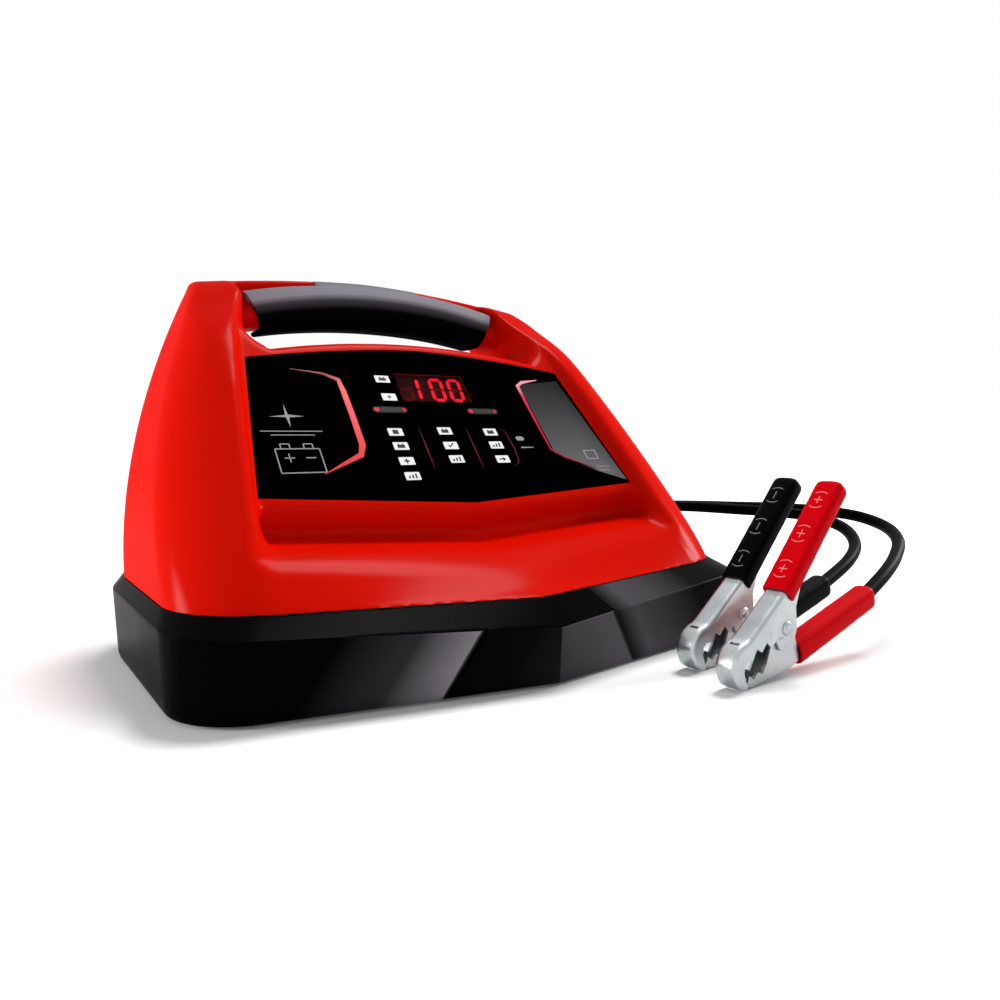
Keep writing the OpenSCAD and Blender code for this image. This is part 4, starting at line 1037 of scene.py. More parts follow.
GLYPHS: dict[str, list[list[tuple[float, float]]]] = {
    "battery": [
        [(-1.8, -1.1), (1.8, -1.1), (1.8, 0.7), (-1.8, 0.7)],
        [(-1.3, 0.7), (-0.6, 0.7), (-0.6, 1.3), (-1.3, 1.3)],
        [(0.6, 0.7), (1.3, 0.7), (1.3, 1.3), (0.6, 1.3)],
    ],
    "arrow": [[(-1.8, -0.35), (0.2, -0.35), (0.2, -1.2), (1.8, 0), (0.2, 1.2), (0.2, 0.35), (-1.8, 0.35)]],
    "bolt": [[(0.7, 1.5), (-1.2, -0.2), (-0.1, -0.2), (-0.7, -1.5), (1.2, 0.3), (0.1, 0.3)]],
    "cross": [
        [(-1.3, -0.35), (-0.35, -0.35), (-0.35, -1.3), (0.35, -1.3), (0.35, -0.35), (1.3, -0.35)]
        + [(1.3, 0.35), (0.35, 0.35), (0.35, 1.3), (-0.35, 1.3), (-0.35, 0.35), (-1.3, 0.35)]
    ],
    "bars": [
        [(-2, -1.2), (-1.2, -1.2), (-1.2, 0), (-2, 0)],
        [(-0.4, -1.2), (0.4, -1.2), (0.4, 0.6), (-0.4, 0.6)],
        [(1.2, -1.2), (2, -1.2), (2, 1.2), (1.2, 1.2)],
    ],
    "tick": [[(-1.6, 0.1), (-0.6, -1.2), (1.7, 1.2), (1.2, 1.5), (-0.6, -0.4), (-1.2, 0.5)]],
    "square": [[(-1.4, -1.2), (1.4, -1.2), (1.4, 1.2), (-1.4, 1.2)]],
}


@dataclass(frozen=True)
class Display:
    """The gloss sheet with its accents, windows, lit digits, lenses and push buttons."""

    panel: Panel = field(default_factory=Panel)
    lenses: tuple[tuple[float, float, str], ...] = (
        (-26, -11.4, "battery"),
        (-26, -24.6, "bolt"),
        (-30.5, -49.3, "square"),
        (-30.5, -58.8, "battery"),
        (-30.5, -68.7, "cross"),
        (-30.5, -78.4, "bars"),
        (-0.7, -48.5, "battery"),
        (-0.7, -58.7, "tick"),
        (-0.7, -68.0, "bars"),
        (28.5, -49.2, "battery"),
        (28.5, -58.6, "bars"),
        (28.5, -68.6, "arrow"),
    )
    digit_w: float = 9.2
    digit_h: float = 17.6
    bar: float = 2.1
    places: tuple[float, ...] = (-16.4, -8.2, 3.8, 15.6)
    digit_n: float = -5.2
    digit_face: float = -2.3

    def strip(
        self, points: Sequence[Sequence[float]], widths: Sequence[float], low: float, high: float
    ) -> Mesh:
        """Flat strip along a line, its edges set off square to the line by each width."""
        line = np.asarray(points, float)
        along = np.gradient(line, axis=0)
        along /= np.linalg.norm(along, axis=1)[:, None]
        side = np.stack([-along[:, 1], along[:, 0]], -1) * np.asarray(widths, float)[:, None] / 2
        ring = np.vstack([line - side, (line + side)[::-1]])
        return outward(prism("strip", ring, low, high, self.panel.place))

    def flat(self, outline: Array, low: float, high: float) -> Mesh:
        """Flat shape on the panel between two heights above its face."""
        return outward(prism("flat", np.asarray(outline, float), low, high, self.panel.place))

    def sheet(self, finishes: "Finishes") -> None:
        """The gloss sheet with its window, key and lens openings."""
        sheet = self.flat(self.panel.outline(0), -1.2, 0)
        holes = [at(rounded_box(44.3, 21.3, 0.6), WINDOW)]
        holes += [at(pill(20.6, 4.6), (side * BUTTON[0], BUTTON[1])) for side in SIDES]
        holes += [at(rounded_box(8.7, 5.2, 0.5), (x, y)) for x, y, _ in self.lenses]
        sheet = cut(sheet, *[self.flat(hole, -3, 3) for hole in holes])
        finished("gloss_sheet", sheet, finishes.sheet, "panel_gloss", ["panel_sheet"], bevel=0.22, sharp=50)
        patch = [(64.5, -11.6), (79.5, -9.5), (96, -7), (109.8, -86), (92, -79), (66.5, -65)]
        finished("shaded_field", self.flat(patch, -0.02, 0.06), finishes.patch, "panel_gloss")
        finished("pictograms", merged(self.pictograms()), finishes.mark, "lens_white")

    def pictograms(self) -> list[Mesh]:
        """Thin light marks: a battery outline with its signs, a spark, rules and a square."""
        low, high = -0.02, 0.08
        thin, fine = [0.6, 0.6], [0.5, 0.5]
        box = [(-97, -74.5), (-75, -74.5), (-75, -60), (-97, -60), (-97, -74.5)]
        posts = [[(x, -60), (x, -57), (x + 4.5, -57), (x + 4.5, -60)] for x in (-94, -82.5)]
        signs = [[(-93.5, -65.6), (-88.5, -65.6)], [(-83, -65.6), (-78, -65.6)], [(-91, -63), (-91, -68.2)]]
        lines = [(pair, thin) for row in [box, *posts, *signs] for pair in zip(row[:-1], row[1:])]
        lines += [([(-86 - half, y), (-86 + half, y)], fine) for y, half in ((-49, 15.5), (-51.4, 11))]
        marks = [self.strip(line, widths, low, high) for line, widths in lines]
        spark = [(-0.2, 8), (0.6, 1.2), (8.5, 0.2), (0.9, -0.6), (0.1, -7), (-0.8, -0.5), (-9, -0.2), (-0.9, 0.9)]
        marks.append(self.flat(at(spark[::-1], (-86, -39.5)), low, high))
        marks.append(self.flat(at(pill(5.5, 3.0), (46.5, -54.0)), low, high))
        marks.append(self.strip([(44.5, -60.6), (53, -60.6)], [1.0, 0.5], low, high))
        for y, half in ((-75.5, 5.0), (-78.2, 4.2)):
            marks.append(self.strip([(97 - half, y), (97 + half, y)], fine, low, high))
        square, middle = rounded_box(9, 7, 0.8), (92.5, -66.5)
        marks.append(cut(self.flat(at(square, middle), low, high), self.flat(at(square * 0.82, middle), -1, 1)))
        return marks

    def accents(self, finishes: "Finishes") -> None:
        """The two bright brackets and the fine dividers."""
        left = [(-77, -7), (-60, -9.4), (-52.2, -13.4), (-51.6, -22), (-51.5, -40), (-51.9, -58), (-54.5, -64.5)]
        left += [(-76.4, -75.8)]
        right = [(80.2, -7.2), (68, -9.6), (63.4, -12.6), (63.4, -30), (64, -48), (64.6, -62.5), (72, -68.4)]
        right += [(90.3, -76.9)]
        for name, line, widths, finish in (
            ("left_bracket", left, [0.2, 1.3, 2.8, 3.2, 3.4, 3.6, 3.2, 0.3], finishes.accent),
            ("right_bracket", right, [0.4, 2.2, 2.4, 1.7, 1.3, 1.2, 0.9, 0.2], finishes.accent_deep),
        ):
            bracket = self.strip(line, widths, -0.05, 0.4)
            finished(name, bracket, finish, "accent_red", ["panel_accents"], bevel=0.12, sharp=50)
        fine = [self.strip([(x, -46), (x, -60), (x, -75)], [0.1, 0.8, 0.1], -0.02, 0.1) for x in (-16, 13.5)]
        curve = [(35, -46.5), (38.5, -49), (39.5, -60), (38.5, -71), (35, -73)]
        fine.append(self.strip(curve, [0.2, 0.5, 0.7, 0.5, 0.2], -0.02, 0.1))
        finished("dividers", merged(fine), finishes.divider, "accent_red")

    def bars(self, lit: bool) -> Mesh:
        """Bars of the digits: a thin six-sided bar with pointed ends, the digits slanted."""
        round_zero = [0, 1, 2, 3, 4, 5]
        shown = ([], [7, 8], round_zero, round_zero)
        dark = (round_zero + [6], [], [6], [6])
        meshes = []
        w, h, b = self.digit_w, self.digit_h, self.bar
        for place, bars in zip(self.places, shown if lit else dark):
            for k in bars:
                upright = k in (1, 2, 4, 5, 7, 8)
                length = (h - b) / 2 - 0.5 if upright else w - b - 0.5
                u, v = length / 2, b / 2
                bar = np.array([(-u, 0), (-u + v, -v), (u - v, -v), (u, 0), (u - v, v), (-u + v, v)])
                x = 0.0 if k not in (1, 2, 4, 5) else (w - b) / 2 * (1 if k in (1, 2) else -1)
                y = {0: (h - b) / 2, 3: -(h - b) / 2, 6: 0.0}.get(k, (h - b) / 4 * (1 if k in (1, 5, 7) else -1))
                bar = bar[:, ::-1] * [1, -1] if upright else bar
                bar = bar + [x, y]
                bar[:, 0] += bar[:, 1] * 0.08
                bar += [WINDOW[0] + place, WINDOW[1] + 0.5]
                high = self.digit_face if lit else self.digit_face - 0.1
                meshes.append(self.flat(bar, self.digit_n, high))
        return merged(meshes)

    def readout(self, finishes: "Finishes") -> None:
        """The tinted window with the lit digits behind it."""
        pane = self.flat(at(rounded_box(44, 21, 0.5), WINDOW), -1.3, -0.1)
        finished("window_pane", pane, finishes.window, "window_tint", ["display_window"], bevel=0.15, sharp=50)
        finished("lit_digits", self.bars(True), finishes.lit, "digit_red", ["display_digits"])
        finished("unlit_digits", self.bars(False), finishes.unlit, "digit_red")
        face = self.flat(at(rounded_box(44, 21, 0.5), WINDOW), -9, -1.35)
        face = cut(face, self.flat(at(rounded_box(42.4, 19.4, 0.4), WINDOW), -2.4, 0))
        finished("readout_block", face, finishes.module, "module_black", ["display_module"], bevel=0.15, sharp=50)

    def lens_set(self, finishes: "Finishes") -> None:
        """The twelve pale lenses and the dark pictogram on each."""
        lenses, glyphs = [], []
        for x, y, name in self.lenses:
            lenses.append(self.flat(at(rounded_box(8.5, 5.0, 0.45), (x, y)), -1.2, 0.04))
            for part in GLYPHS[name]:
                glyphs.append(self.flat(np.array(part) * 1.2 + [x, y], 0.0, 0.09))
        finished("lenses", merged(lenses), finishes.lens, "lens_white", ["indicator_lenses"])
        finished("lens_glyphs", merged(glyphs), finishes.glyph, "module_black")

    def keys(self, finishes: "Finishes") -> None:
        """The two push buttons, each with a red pointer and a red end."""
        for side, name in zip(SIDES, ("button_left", "button_right")):
            middle = np.array([side * BUTTON[0], BUTTON[1]])
            cap = self.flat(pill(20, 4) + middle, -5.2, 0.9)
            flange = self.flat(rounded_box(23, 7, 1) + middle, -5.2, -4.4)
            stem = self.flat(rounded_box(5, 3, 0.4) + middle, -9.1, -5)
            key = shape(shape(cap, flange, Operation.JOIN), stem, Operation.JOIN)
            finished(
                name + "_key", key, finishes.key, "button_black", [name], name, bevel=0.45, sharp=50, segments=3
            )
            pointer = self.flat(pill(3.0, 2.6, 8) + middle + [-7.8, 0], 0.8, 0.95)
            end = self.flat(pill(2.0, 2.2, 8) + middle + [8.2, 0], 0.8, 0.95)
            rule = self.flat(rounded_box(11.4, 2.2, 0.4) + middle + [0.6, 0], 0.8, 0.93)
            finished(name + "_pointer", merged([pointer, end]), finishes.pointer, "accent_red", [], name)
            finished(name + "_inlay", rule, finishes.inlay, "button_black", [], name)

    def dressed(self, finishes: "Finishes") -> None:
        """Builds everything on the panel."""
        self.sheet(finishes)
        self.accents(finishes)
        self.readout(finishes)
        self.lens_set(finishes)
        self.keys(finishes)


# ---------- clamps ----------


@dataclass(frozen=True)
class Clamp:
    """One battery clamp: local x runs from the jaw tip, y across and z up."""

    polarity: Polarity
    at: tuple[float, float]
    turn: float = 4.5
    pitch: float = 6.0
    heel: float = 11.0
    pivot: tuple[float, float] = (36.0, 21.5)
    half_w: float = 5.5
    inner_w: float = 4.05
    steel: float = 1.2
    lean: float = 41.0
    upper_from: tuple[float, float] = (34.0, 38.0)
    upper_l: float = 66.0
    upper_depth: float = 7.0
    rise: float = 9.0
    lower_from: tuple[float, float] = (43.0, 1.2)
    lower_l: float = 76.0
    lower_depth: float = 9.0
    sleeve_start: float = 5.0
    sleeve_t: float = 1.8
    crimp_up: float = 3.6

    @property
    def upper_body(self) -> str:
        """Name of the body that the upper half moves with."""
        return self.polarity.value + "_clamp_upper"

    def node(self, part: str) -> str:
        """Name of one of the clamp's solids."""
        return f"{self.polarity.value}_clamp_{part}"

    def place(self, p: Array) -> Array:
        """Leans local rows back on the nose, turns them about z and moves them to the floor."""
        p = np.asarray(p, float)
        s, c = sin_cos(self.pitch)
        x, z = p[:, 0] * c - p[:, 2] * s, p[:, 0] * s + p[:, 2] * c - self.heel * s
        s, c = sin_cos(self.turn)
        return np.stack([self.at[0] + x * c - p[:, 1] * s, self.at[1] + x * s + p[:, 1] * c, z], -1)

    def on_handle(self, upper: bool, along: Array, up: Array) -> tuple[Array, Array]:
        """Local x and z of a place along a handle and square to it, outwards from its line."""
        (x, z), angle = (self.upper_from, self.lean) if upper else (self.lower_from, self.rise)
        s, c = sin_cos(angle)
        return x + c * along - s * up, z + s * along + c * up

    def pressed(self, name: str, spine: Array, edge: Array, half_w: float, r: float, smooth: int) -> Mesh:
        """Channel pressed from sheet.

        At each station the sheet runs from a free edge along one cheek, round a corner
        of radius r, across the spine and back down the other cheek. The middle line is
        worked out on a grid of stations and steps, then walled inwards.

        Args:
            name: The mesh's name.
            spine: Rows x, z of the spine's line.
            edge: Rows x, z of the free edge, station by station.
            half_w: Half the outside width.
            r: Outside radius of the corners.
            smooth: Stations at the start whose spine is drawn as a smooth curve.

        Returns:
            The closed mesh.
        """
        steps = 5
        lines = []
        for line, head in ((np.asarray(spine, float), smooth), (np.asarray(edge, float), 0)):
            t = np.arange(steps) / steps
            straight = line[:-1, None] + (line[1:] - line[:-1])[:, None] * t[None, :, None]
            dense = np.vstack([straight.reshape(-1, 2), line[-1:]])
            if head:
                dense[: head * steps] = spline(line, steps)[: head * steps]
            lines.append(dense)
        top, low = lines
        reach = np.linalg.norm(low - top, axis=1)
        down = (low - top) / reach[:, None]
        corner = np.minimum(r, reach * 0.6)[:, None]
        a = np.radians(np.linspace(0, 90, 6))
        cheek = np.array([1.0, 0.6, 0.25])
        y = np.concatenate([np.full((len(top), 3), half_w), half_w - corner * (1 - np.cos(a))], 1)
        s = np.concatenate([corner + (reach[:, None] - corner) * cheek, corner * (1 - np.sin(a))], 1)
        y = np.concatenate([y, np.zeros((len(top), 1)), -y[:, ::-1]], 1)
        s = np.concatenate([s, np.zeros((len(top), 1)), s[:, ::-1]], 1)

        def surface(inset: float) -> Array:
            """The grid moved inwards by inset: less width, and further from the spine."""
            wide = y * (1 - inset / half_w)
            deep = np.minimum(s + inset, np.maximum(reach[:, None], s)) if inset else s
            x = top[:, None, 0] + down[:, None, 0] * deep
            z = top[:, None, 1] + down[:, None, 1] * deep
            return np.stack([x, wide, z], -1)

        outer, inner = surface(0), surface(self.steel)
        rows, n = outer.shape[:2]
        rings = np.concatenate([outer, inner[:, ::-1]], 1)
        points = rings.reshape(-1, 3)
        faces = grid_faces(rows, 2 * n).tolist()
        for row, flip in ((0, False), (rows - 1, True)):
            base = row * 2 * n
            for k in range(n - 1):
                quad = [base + k, base + k + 1, base + 2 * n - 2 - k, base + 2 * n - 1 - k]
                faces.append(quad[::-1] if flip else quad)
        return outward(new_mesh(name, self.place(points), faces))

    def upper(self) -> Mesh:
        """The upper half: rounded nose, toothed jaw, cheeks round the pivot and handle."""

        def handle(d: float, depth: float = 0.0) -> tuple[float, float]:
            """A place along the handle and below its top."""
            return self.on_handle(True, d, -depth)

        spine = [(2.5, 1.2), (-2.4, 4.5), (-4.4, 9.5), (-4.3, 14.5), (-1.2, 19.3), (3.5, 22.0), (7.5, 22.8)]
        spine += [(12, 25.2), (16, 27.5), (20, 29.9), (24, 32.2), (28, 34.5), (31, 36.3)]
        spine += [handle(d) for d in (0, 4, 8, 12, 20, self.upper_l - 1)]
        edge = [(5.0, 3.0), (3.4, 5.5), (2.4, 9.5), (3.2, 12.6), (5.5, 14.5), (9, 14), (12.5, 18), (16, 15.5)]
        edge += [(20, 19), (23.5, 15.5), (27, 18), (30, 12.5), (36, 12.6), (41, 13.5), (44, 20), (43.8, 30)]
        edge += [handle(13, 7.6), handle(20, 7), handle(self.upper_l - 1, 7)]
        return self.pressed("upper", np.array(spine), np.array(edge), self.half_w, 2.2, 8)

    def lower(self) -> Mesh:
        """The lower half: flat belly, toothed jaw, inner cheeks and handle."""
        handle = partial(self.on_handle, False)
        spine = [(5.8, 3.0), (6.8, 1.3), (8.8, 0.35)] + [(x, 0) for x in (11, 14.5, 18, 21.5, 25, 30, 34)]
        spine += [(38, 0.1), (41.5, 0.7), handle(1.5, 0), handle(4.5, 0), handle(self.lower_l - 4, 0)]
        edge = [(6.8, 4.4), (8, 6.5), (9.5, 5.2), (11, 4), (14.5, 6.5), (18, 4.5), (21.5, 9), (25, 16), (31, 25)]
        edge += [(34.5, 27.5), (39, 27), (43, 22), (44.8, 13), handle(4.5, 9), handle(self.lower_l - 4, 9)]
        return self.pressed("lower", np.array(spine), np.array(edge), self.inner_w, 1.6, 0)

    def sleeve(self, upper: bool) -> Mesh:
        """A dipped sleeve: a rounded box section carried along a handle, its end domed."""
        if upper:
            start, length, low, high, half = 2.0, self.upper_l, -self.upper_depth, 0.0, self.half_w
        else:
            start, low, high, half = self.sleeve_start, 0.0, self.lower_depth, self.inner_w
            length = self.lower_l - start
        low, high, half = low - self.sleeve_t, high + self.sleeve_t, half + self.sleeve_t
        a = np.linspace(0, 2 * math.pi, 48, endpoint=False)
        power = 2 / 3.4
        u = half * np.sign(np.cos(a)) * np.abs(np.cos(a)) ** power
        v = (high - low) / 2 * np.sign(np.sin(a)) * np.abs(np.sin(a)) ** power
        ends = [(1.6, 0.80), (0.0, 0.84), (-0.2, 0.93), (0.2, 0.985), (0.9, 1.0), (1.6, 0.985), (2.4, 0.985)]
        rows = ends + [(d, 0.985 + 0.012 * math.sin(d * 0.35) ** 2) for d in np.linspace(4, length - 6, 24)]
        rows += [(length - 4, 0.995), (length - 2, 0.98), (length - 0.9, 0.93), (length - 0.25, 0.84), (length, 0.7)]
        rings = []
        for d, k in rows:
            x, z = self.on_handle(upper, start + d, v * k + (high + low) / 2)
            rings.append(np.stack([x, u * k, z], -1))
        return outward(loft("sleeve", placed(np.stack(rings), self.place)))

    def marks(self) -> Mesh:
        """Three raised polarity marks on the upper sleeve, each between two arcs."""

        def on_sleeve(p: Array) -> Array:
            """From rows along, across and above the sleeve's top to the model's frame."""
            x, z = self.on_handle(True, p[:, 0], p[:, 2] + self.sleeve_t)
            return self.place(np.stack([x, -p[:, 1], z], -1))

        meshes = []
        for d in (13.0, 34.0, 55.0):
            meshes.append(prism("mark", at(rounded_box(4.6, 0.55, 0.2), (d, 0)), -0.35, 0.12, on_sleeve))
            if self.polarity is Polarity.PLUS:
                meshes.append(prism("mark", at(rounded_box(0.55, 4.2, 0.2), (d, 0)), -0.35, 0.115, on_sleeve))
            for way in SIDES:
                a = np.radians(np.linspace(-38, 38, 9))
                arc = np.c_[way * np.cos(a), np.sin(a)]
                ring = np.vstack([arc * [5.2, 5.2], (arc * [4.7, 5.0])[::-1]]) + [d, 0]
                meshes.append(prism("arc", ring, -0.45, 0.1, on_sleeve))
        return outward(merged(meshes))

    def rivet(self) -> Mesh:
        """The pivot rivet: a shaft with a low domed head at each end."""
        h = self.half_w
        head = [(0.6, 1.25), (1.8, 1.1), (2.8, 0.75), (3.3, 0.3), (3.4, 0.02)]
        profile = [(r, -h - 0.05 - z) for r, z in head] + [(2, -h), (2, h)]
        profile += [(r, h + 0.05 + z) for r, z in head[::-1]]
        turn = lambda p: self.place(np.stack([self.pivot[0] + p[:, 0], p[:, 2], self.pivot[1] + p[:, 1]], -1))
        return turned("rivet", np.array(profile), turn, 32)

    def spring(self) -> Mesh:
        """The torsion spring: two turns and more round the rivet, an arm against each handle."""
        pitch, r, wire, up, down = 1.6, 4.4, 0.55, self.lean + 17, -48.0
        a0, a1 = up + 90, 270 + down + 720
        a = np.radians(np.linspace(a0, a1, 90))
        y = pitch * (np.degrees(a) - a0) / 360 - pitch * (a1 - a0) / 720
        coil = np.stack([self.pivot[0] + r * np.cos(a), y, self.pivot[1] + r * np.sin(a)], -1)
        first = np.array([math.cos(math.radians(up)), 0, math.sin(math.radians(up))])
        last = np.array([math.cos(math.radians(down)), 0, math.sin(math.radians(down))])
        arms = [coil[0] + 14 * first, coil[0] + 5 * first, coil[-1] + 5 * last, coil[-1] + 15 * last]
        path = np.vstack([arms[:2], coil, arms[2:]])
        ends = self.place(np.vstack([path[0] * 0, -first, last, [0, 1, 0]]))
        first, last, across = ends[1] - ends[0], ends[2] - ends[0], ends[3] - ends[0]
        return tube("spring", self.place(path), wire, 10, first, last, across)

    def dressed(self, finishes: "Finishes") -> None:
        """Builds the clamp's pieces and adds them to the charger."""
        tag = self.polarity.value + "_"
        if self.polarity is Polarity.PLUS:
            vinyl, mark, vinyl_slot = finishes.sleeve_red, finishes.mark_on_red, "sleeve_red"
        else:
            vinyl, mark, vinyl_slot = finishes.sleeve_black, finishes.mark_on_black, "sleeve_black"
        slot = prism("nose_slot", at(rounded_box(1.6, 5.0, 0.7), (3.6, 0)), 17, 30, self.place)
        tip = prism("tip_slot", at(rounded_box(2.4, 4.6, 0.8), (0.2, 0)), -2, 6.4, self.place)
        upper = cut(self.upper(), slot, tip)
        steel, pressed = (finishes.steel, "clamp_steel"), {"bevel": 0.18, "sharp": 50}
        finished(tag + "upper_half", upper, *steel, [self.node("upper_jaw")], self.upper_body, **pressed)
        finished(tag + "lower_half", self.lower(), *steel, [self.node("lower_jaw")], **pressed)
        finished(tag + "rivet", self.rivet(), *steel, [self.node("rivet")])
        for half, body in (("upper", self.upper_body), ("lower", BODY)):
            grip = self.sleeve(half == "upper")
            finished(f"{tag}{half}_grip", grip, vinyl, vinyl_slot, [self.node(half + "_sleeve")], body)
        finished(tag + "polarity_marks", self.marks(), mark, vinyl_slot, [], self.upper_body)
        spring = added(tag + "spring", self.spring())
        spring.data.materials.append(finishes.spring)
        low = self.place(np.array([[self.pivot[0] + 4, 0, self.pivot[1] - 4]]))[0] * MM
        high = self.place(np.array([[self.pivot[0] - 2, 0, self.pivot[1] + 6]]))[0] * MM
        self.upper_body
        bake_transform(spring)
        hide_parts(self.node("spring"))


# ---------- leads and their gland ----------


@dataclass(frozen=True)
class Lead:
    """One output lead: a heavy round cable from the gland to its clamp's lower handle."""

    clamp: Clamp
    start: tuple[float, float, float]
    bends: tuple[tuple[float, float, float], ...]
    diameter: float = 7.5

    def control(self) -> Array:
        """The route's points, from the gland to the end of the clamp's lower handle."""
        c = self.clamp
        x, z = c.on_handle(False, c.lower_l - 2.5, c.crimp_up + 0.9)
        return np.vstack([[self.start], self.bends, c.place(np.array([[x, 0, z]]))])

    def ends(self) -> tuple[Array, Array]:
        """Direction of the lead at its start and at its end."""
        c = self.clamp
        s, k = sin_cos(c.rise)
        pair = c.place(np.array([[0, 0, 0], [k, 0, s]]))
        return np.array([1.0, 0, 0]), pair[0] - pair[1]

    def dressed(self, finishes: "Finishes") -> Item:
        """Builds the lead."""
        name = self.clamp.polarity.value + "_lead"
        path = spline(self.control(), 8)
        first, last = self.ends()
        mesh = outward(tube(name, path, self.diameter / 2, 24, first, last, np.array([0, 0, 1.0])))
        return finished(name, mesh, finishes.lead, "lead_rubber", ["lead_" + self.clamp.polarity.value])

    def declared(self, piece: Item, with_pieces: Sequence[object]) -> None:
        """Logs the length of the lead's path."""
        path = spline(self.control(), 3) * MM
        length = float(np.linalg.norm(np.diff(spline(self.control(), 8) * MM, axis=0), axis=1).sum())
        log.info("%s: %.3f m long", piece.name, length)


@dataclass(frozen=True)
class Gland:
    """The ribbed twin gland that both leads leave through."""

    wall_x: float = 152.98
    gap: float = 4.1
    r: float = 5.95
    reach: float = 32.0

    def twin(self) -> Mesh:
        """Oval sections along x: a flange outside the wall, then ribs drawn in towards the end."""
        flange = [(-2.0, -0.3), (0.2, -0.3), (0.3, 1.7), (0.9, 2.1), (2.6, 2.1), (3.2, 1.6), (3.4, -0.2)]
        rows = [(x, self.r + more) for x, more in flange]
        for k in range(7):
            x, big = 4.6 + 3.6 * k, self.r - 0.1 - 0.13 * k
            rows += [(x, big), (x + 1.6, big), (x + 2.1, big - 0.7), (x + 3.1, big - 0.7)]
        rows += [(self.reach - 1.0, self.r - 0.9), (self.reach, self.r - 1.5)]
        rings = []
        for x, r in rows:
            ring = at(stadium(self.gap, r, 10), GLAND)
            rings.append(np.c_[np.full(len(ring), self.wall_x + x), ring])
        return outward(loft("gland", np.stack(rings)))

    def dressed(self, finishes: "Finishes") -> Item:
        """Builds the gland and adds it to the charger."""
        return finished("lead_boot", self.twin(), finishes.gland, "gland_rubber", ["lead_gland"], sharp=50)


# ---------- finishes ----------


def linear(colour: Sequence[float]) -> tuple[float, float, float, float]:
    """A colour of 0 to 255 on the screen's curve, as linear light with full opacity."""
    c = np.asarray(colour, float) / 255
    c = np.where(c <= 0.04045, c / 12.92, ((c + 0.055) / 1.055) ** 2.4)
    return float(c[0]), float(c[1]), float(c[2]), 1.0


def node_sum(tree: Tree, operation: str, *values: object) -> Socket:
    """Adds one sum of sockets and numbers to a node tree.

    Args:
        tree: The node tree.
        operation: The sum's kind.
        values: A socket or a number for each input.

    Returns:
        The result's socket.
    """
    node = tree.nodes.new("ShaderNodeMath")
    node.operation = operation
    for k, value in enumerate(values):
        if isinstance(value, (int, float)):
            node.inputs[k].default_value = value
        else:
            tree.links.new(value, node.inputs[k])
    return node.outputs[0]


class Surface:
    """The shared shader group: fine grain, broad tone changes and a rubbed look in scattered spots."""

    COLOURS = ("Colour", "Worn Colour")
    VALUES = ("Grain Scale", "Tone Spread", "Roughness", "Roughness Spread", "Relief", "Wear")

    def __init__(self) -> None:
        """Builds the group once."""
        self.tree = bpy.data.node_groups.new("moulded_surface", "ShaderNodeTree")
        colour, value = "NodeSocketColor", "NodeSocketFloat"
        sockets = [(name, "INPUT", colour) for name in self.COLOURS]
        sockets += [(name, "INPUT", value) for name in self.VALUES]
        sockets += [("Colour", "OUTPUT", colour), ("Roughness", "OUTPUT", value), ("Height", "OUTPUT", value)]
        for name, way, kind in sockets:
            self.tree.interface.new_socket(name=name, in_out=way, socket_type=kind)
        new, link, total = self.tree.nodes.new, self.tree.links.new, partial(node_sum, self.tree)
        given, out = new("NodeGroupInput").outputs, new("NodeGroupOutput").inputs
        coords = new("ShaderNodeTexCoord")
        fine, broad = new("ShaderNodeTexNoise"), new("ShaderNodeTexNoise")
        fine.inputs["Detail"].default_value = 3
        broad.inputs["Scale"].default_value = 28
        broad.inputs["Detail"].default_value = 4
        for noise in (fine, broad):
            link(coords.outputs["Object"], noise.inputs["Vector"])
        link(given["Grain Scale"], fine.inputs["Scale"])
        grain = fine.outputs["Fac"]
        centred = total("SUBTRACT", broad.outputs["Fac"], 0.5)
        tone = total("MULTIPLY", centred, given["Tone Spread"])
        tone = total("ADD", total("MULTIPLY", tone, 2.0), 1.0)
        tinted = new("ShaderNodeVectorMath")
        tinted.operation = "SCALE"
        link(given["Colour"], tinted.inputs[0])
        link(tone, tinted.inputs["Scale"])
        rub = new("ShaderNodeMapRange")
        rub.inputs["From Min"].default_value = 0.62
        rub.inputs["From Max"].default_value = 0.74
        link(grain, rub.inputs["Value"])
        mix = new("ShaderNodeMix")
        mix.data_type = "RGBA"
        link(total("MULTIPLY", rub.outputs["Result"], given["Wear"]), mix.inputs["Factor"])
        link(tinted.outputs[0], mix.inputs["A"])
        link(given["Worn Colour"], mix.inputs["B"])
        link(mix.outputs["Result"], out["Colour"])
        spread = total("MULTIPLY", total("SUBTRACT", grain, 0.5), given["Roughness Spread"])
        smear = total("MULTIPLY", centred, given["Roughness Spread"])
        link(total("ADD", total("ADD", spread, smear), given["Roughness"]), out["Roughness"])
        link(total("MULTIPLY", grain, given["Relief"]), out["Height"])


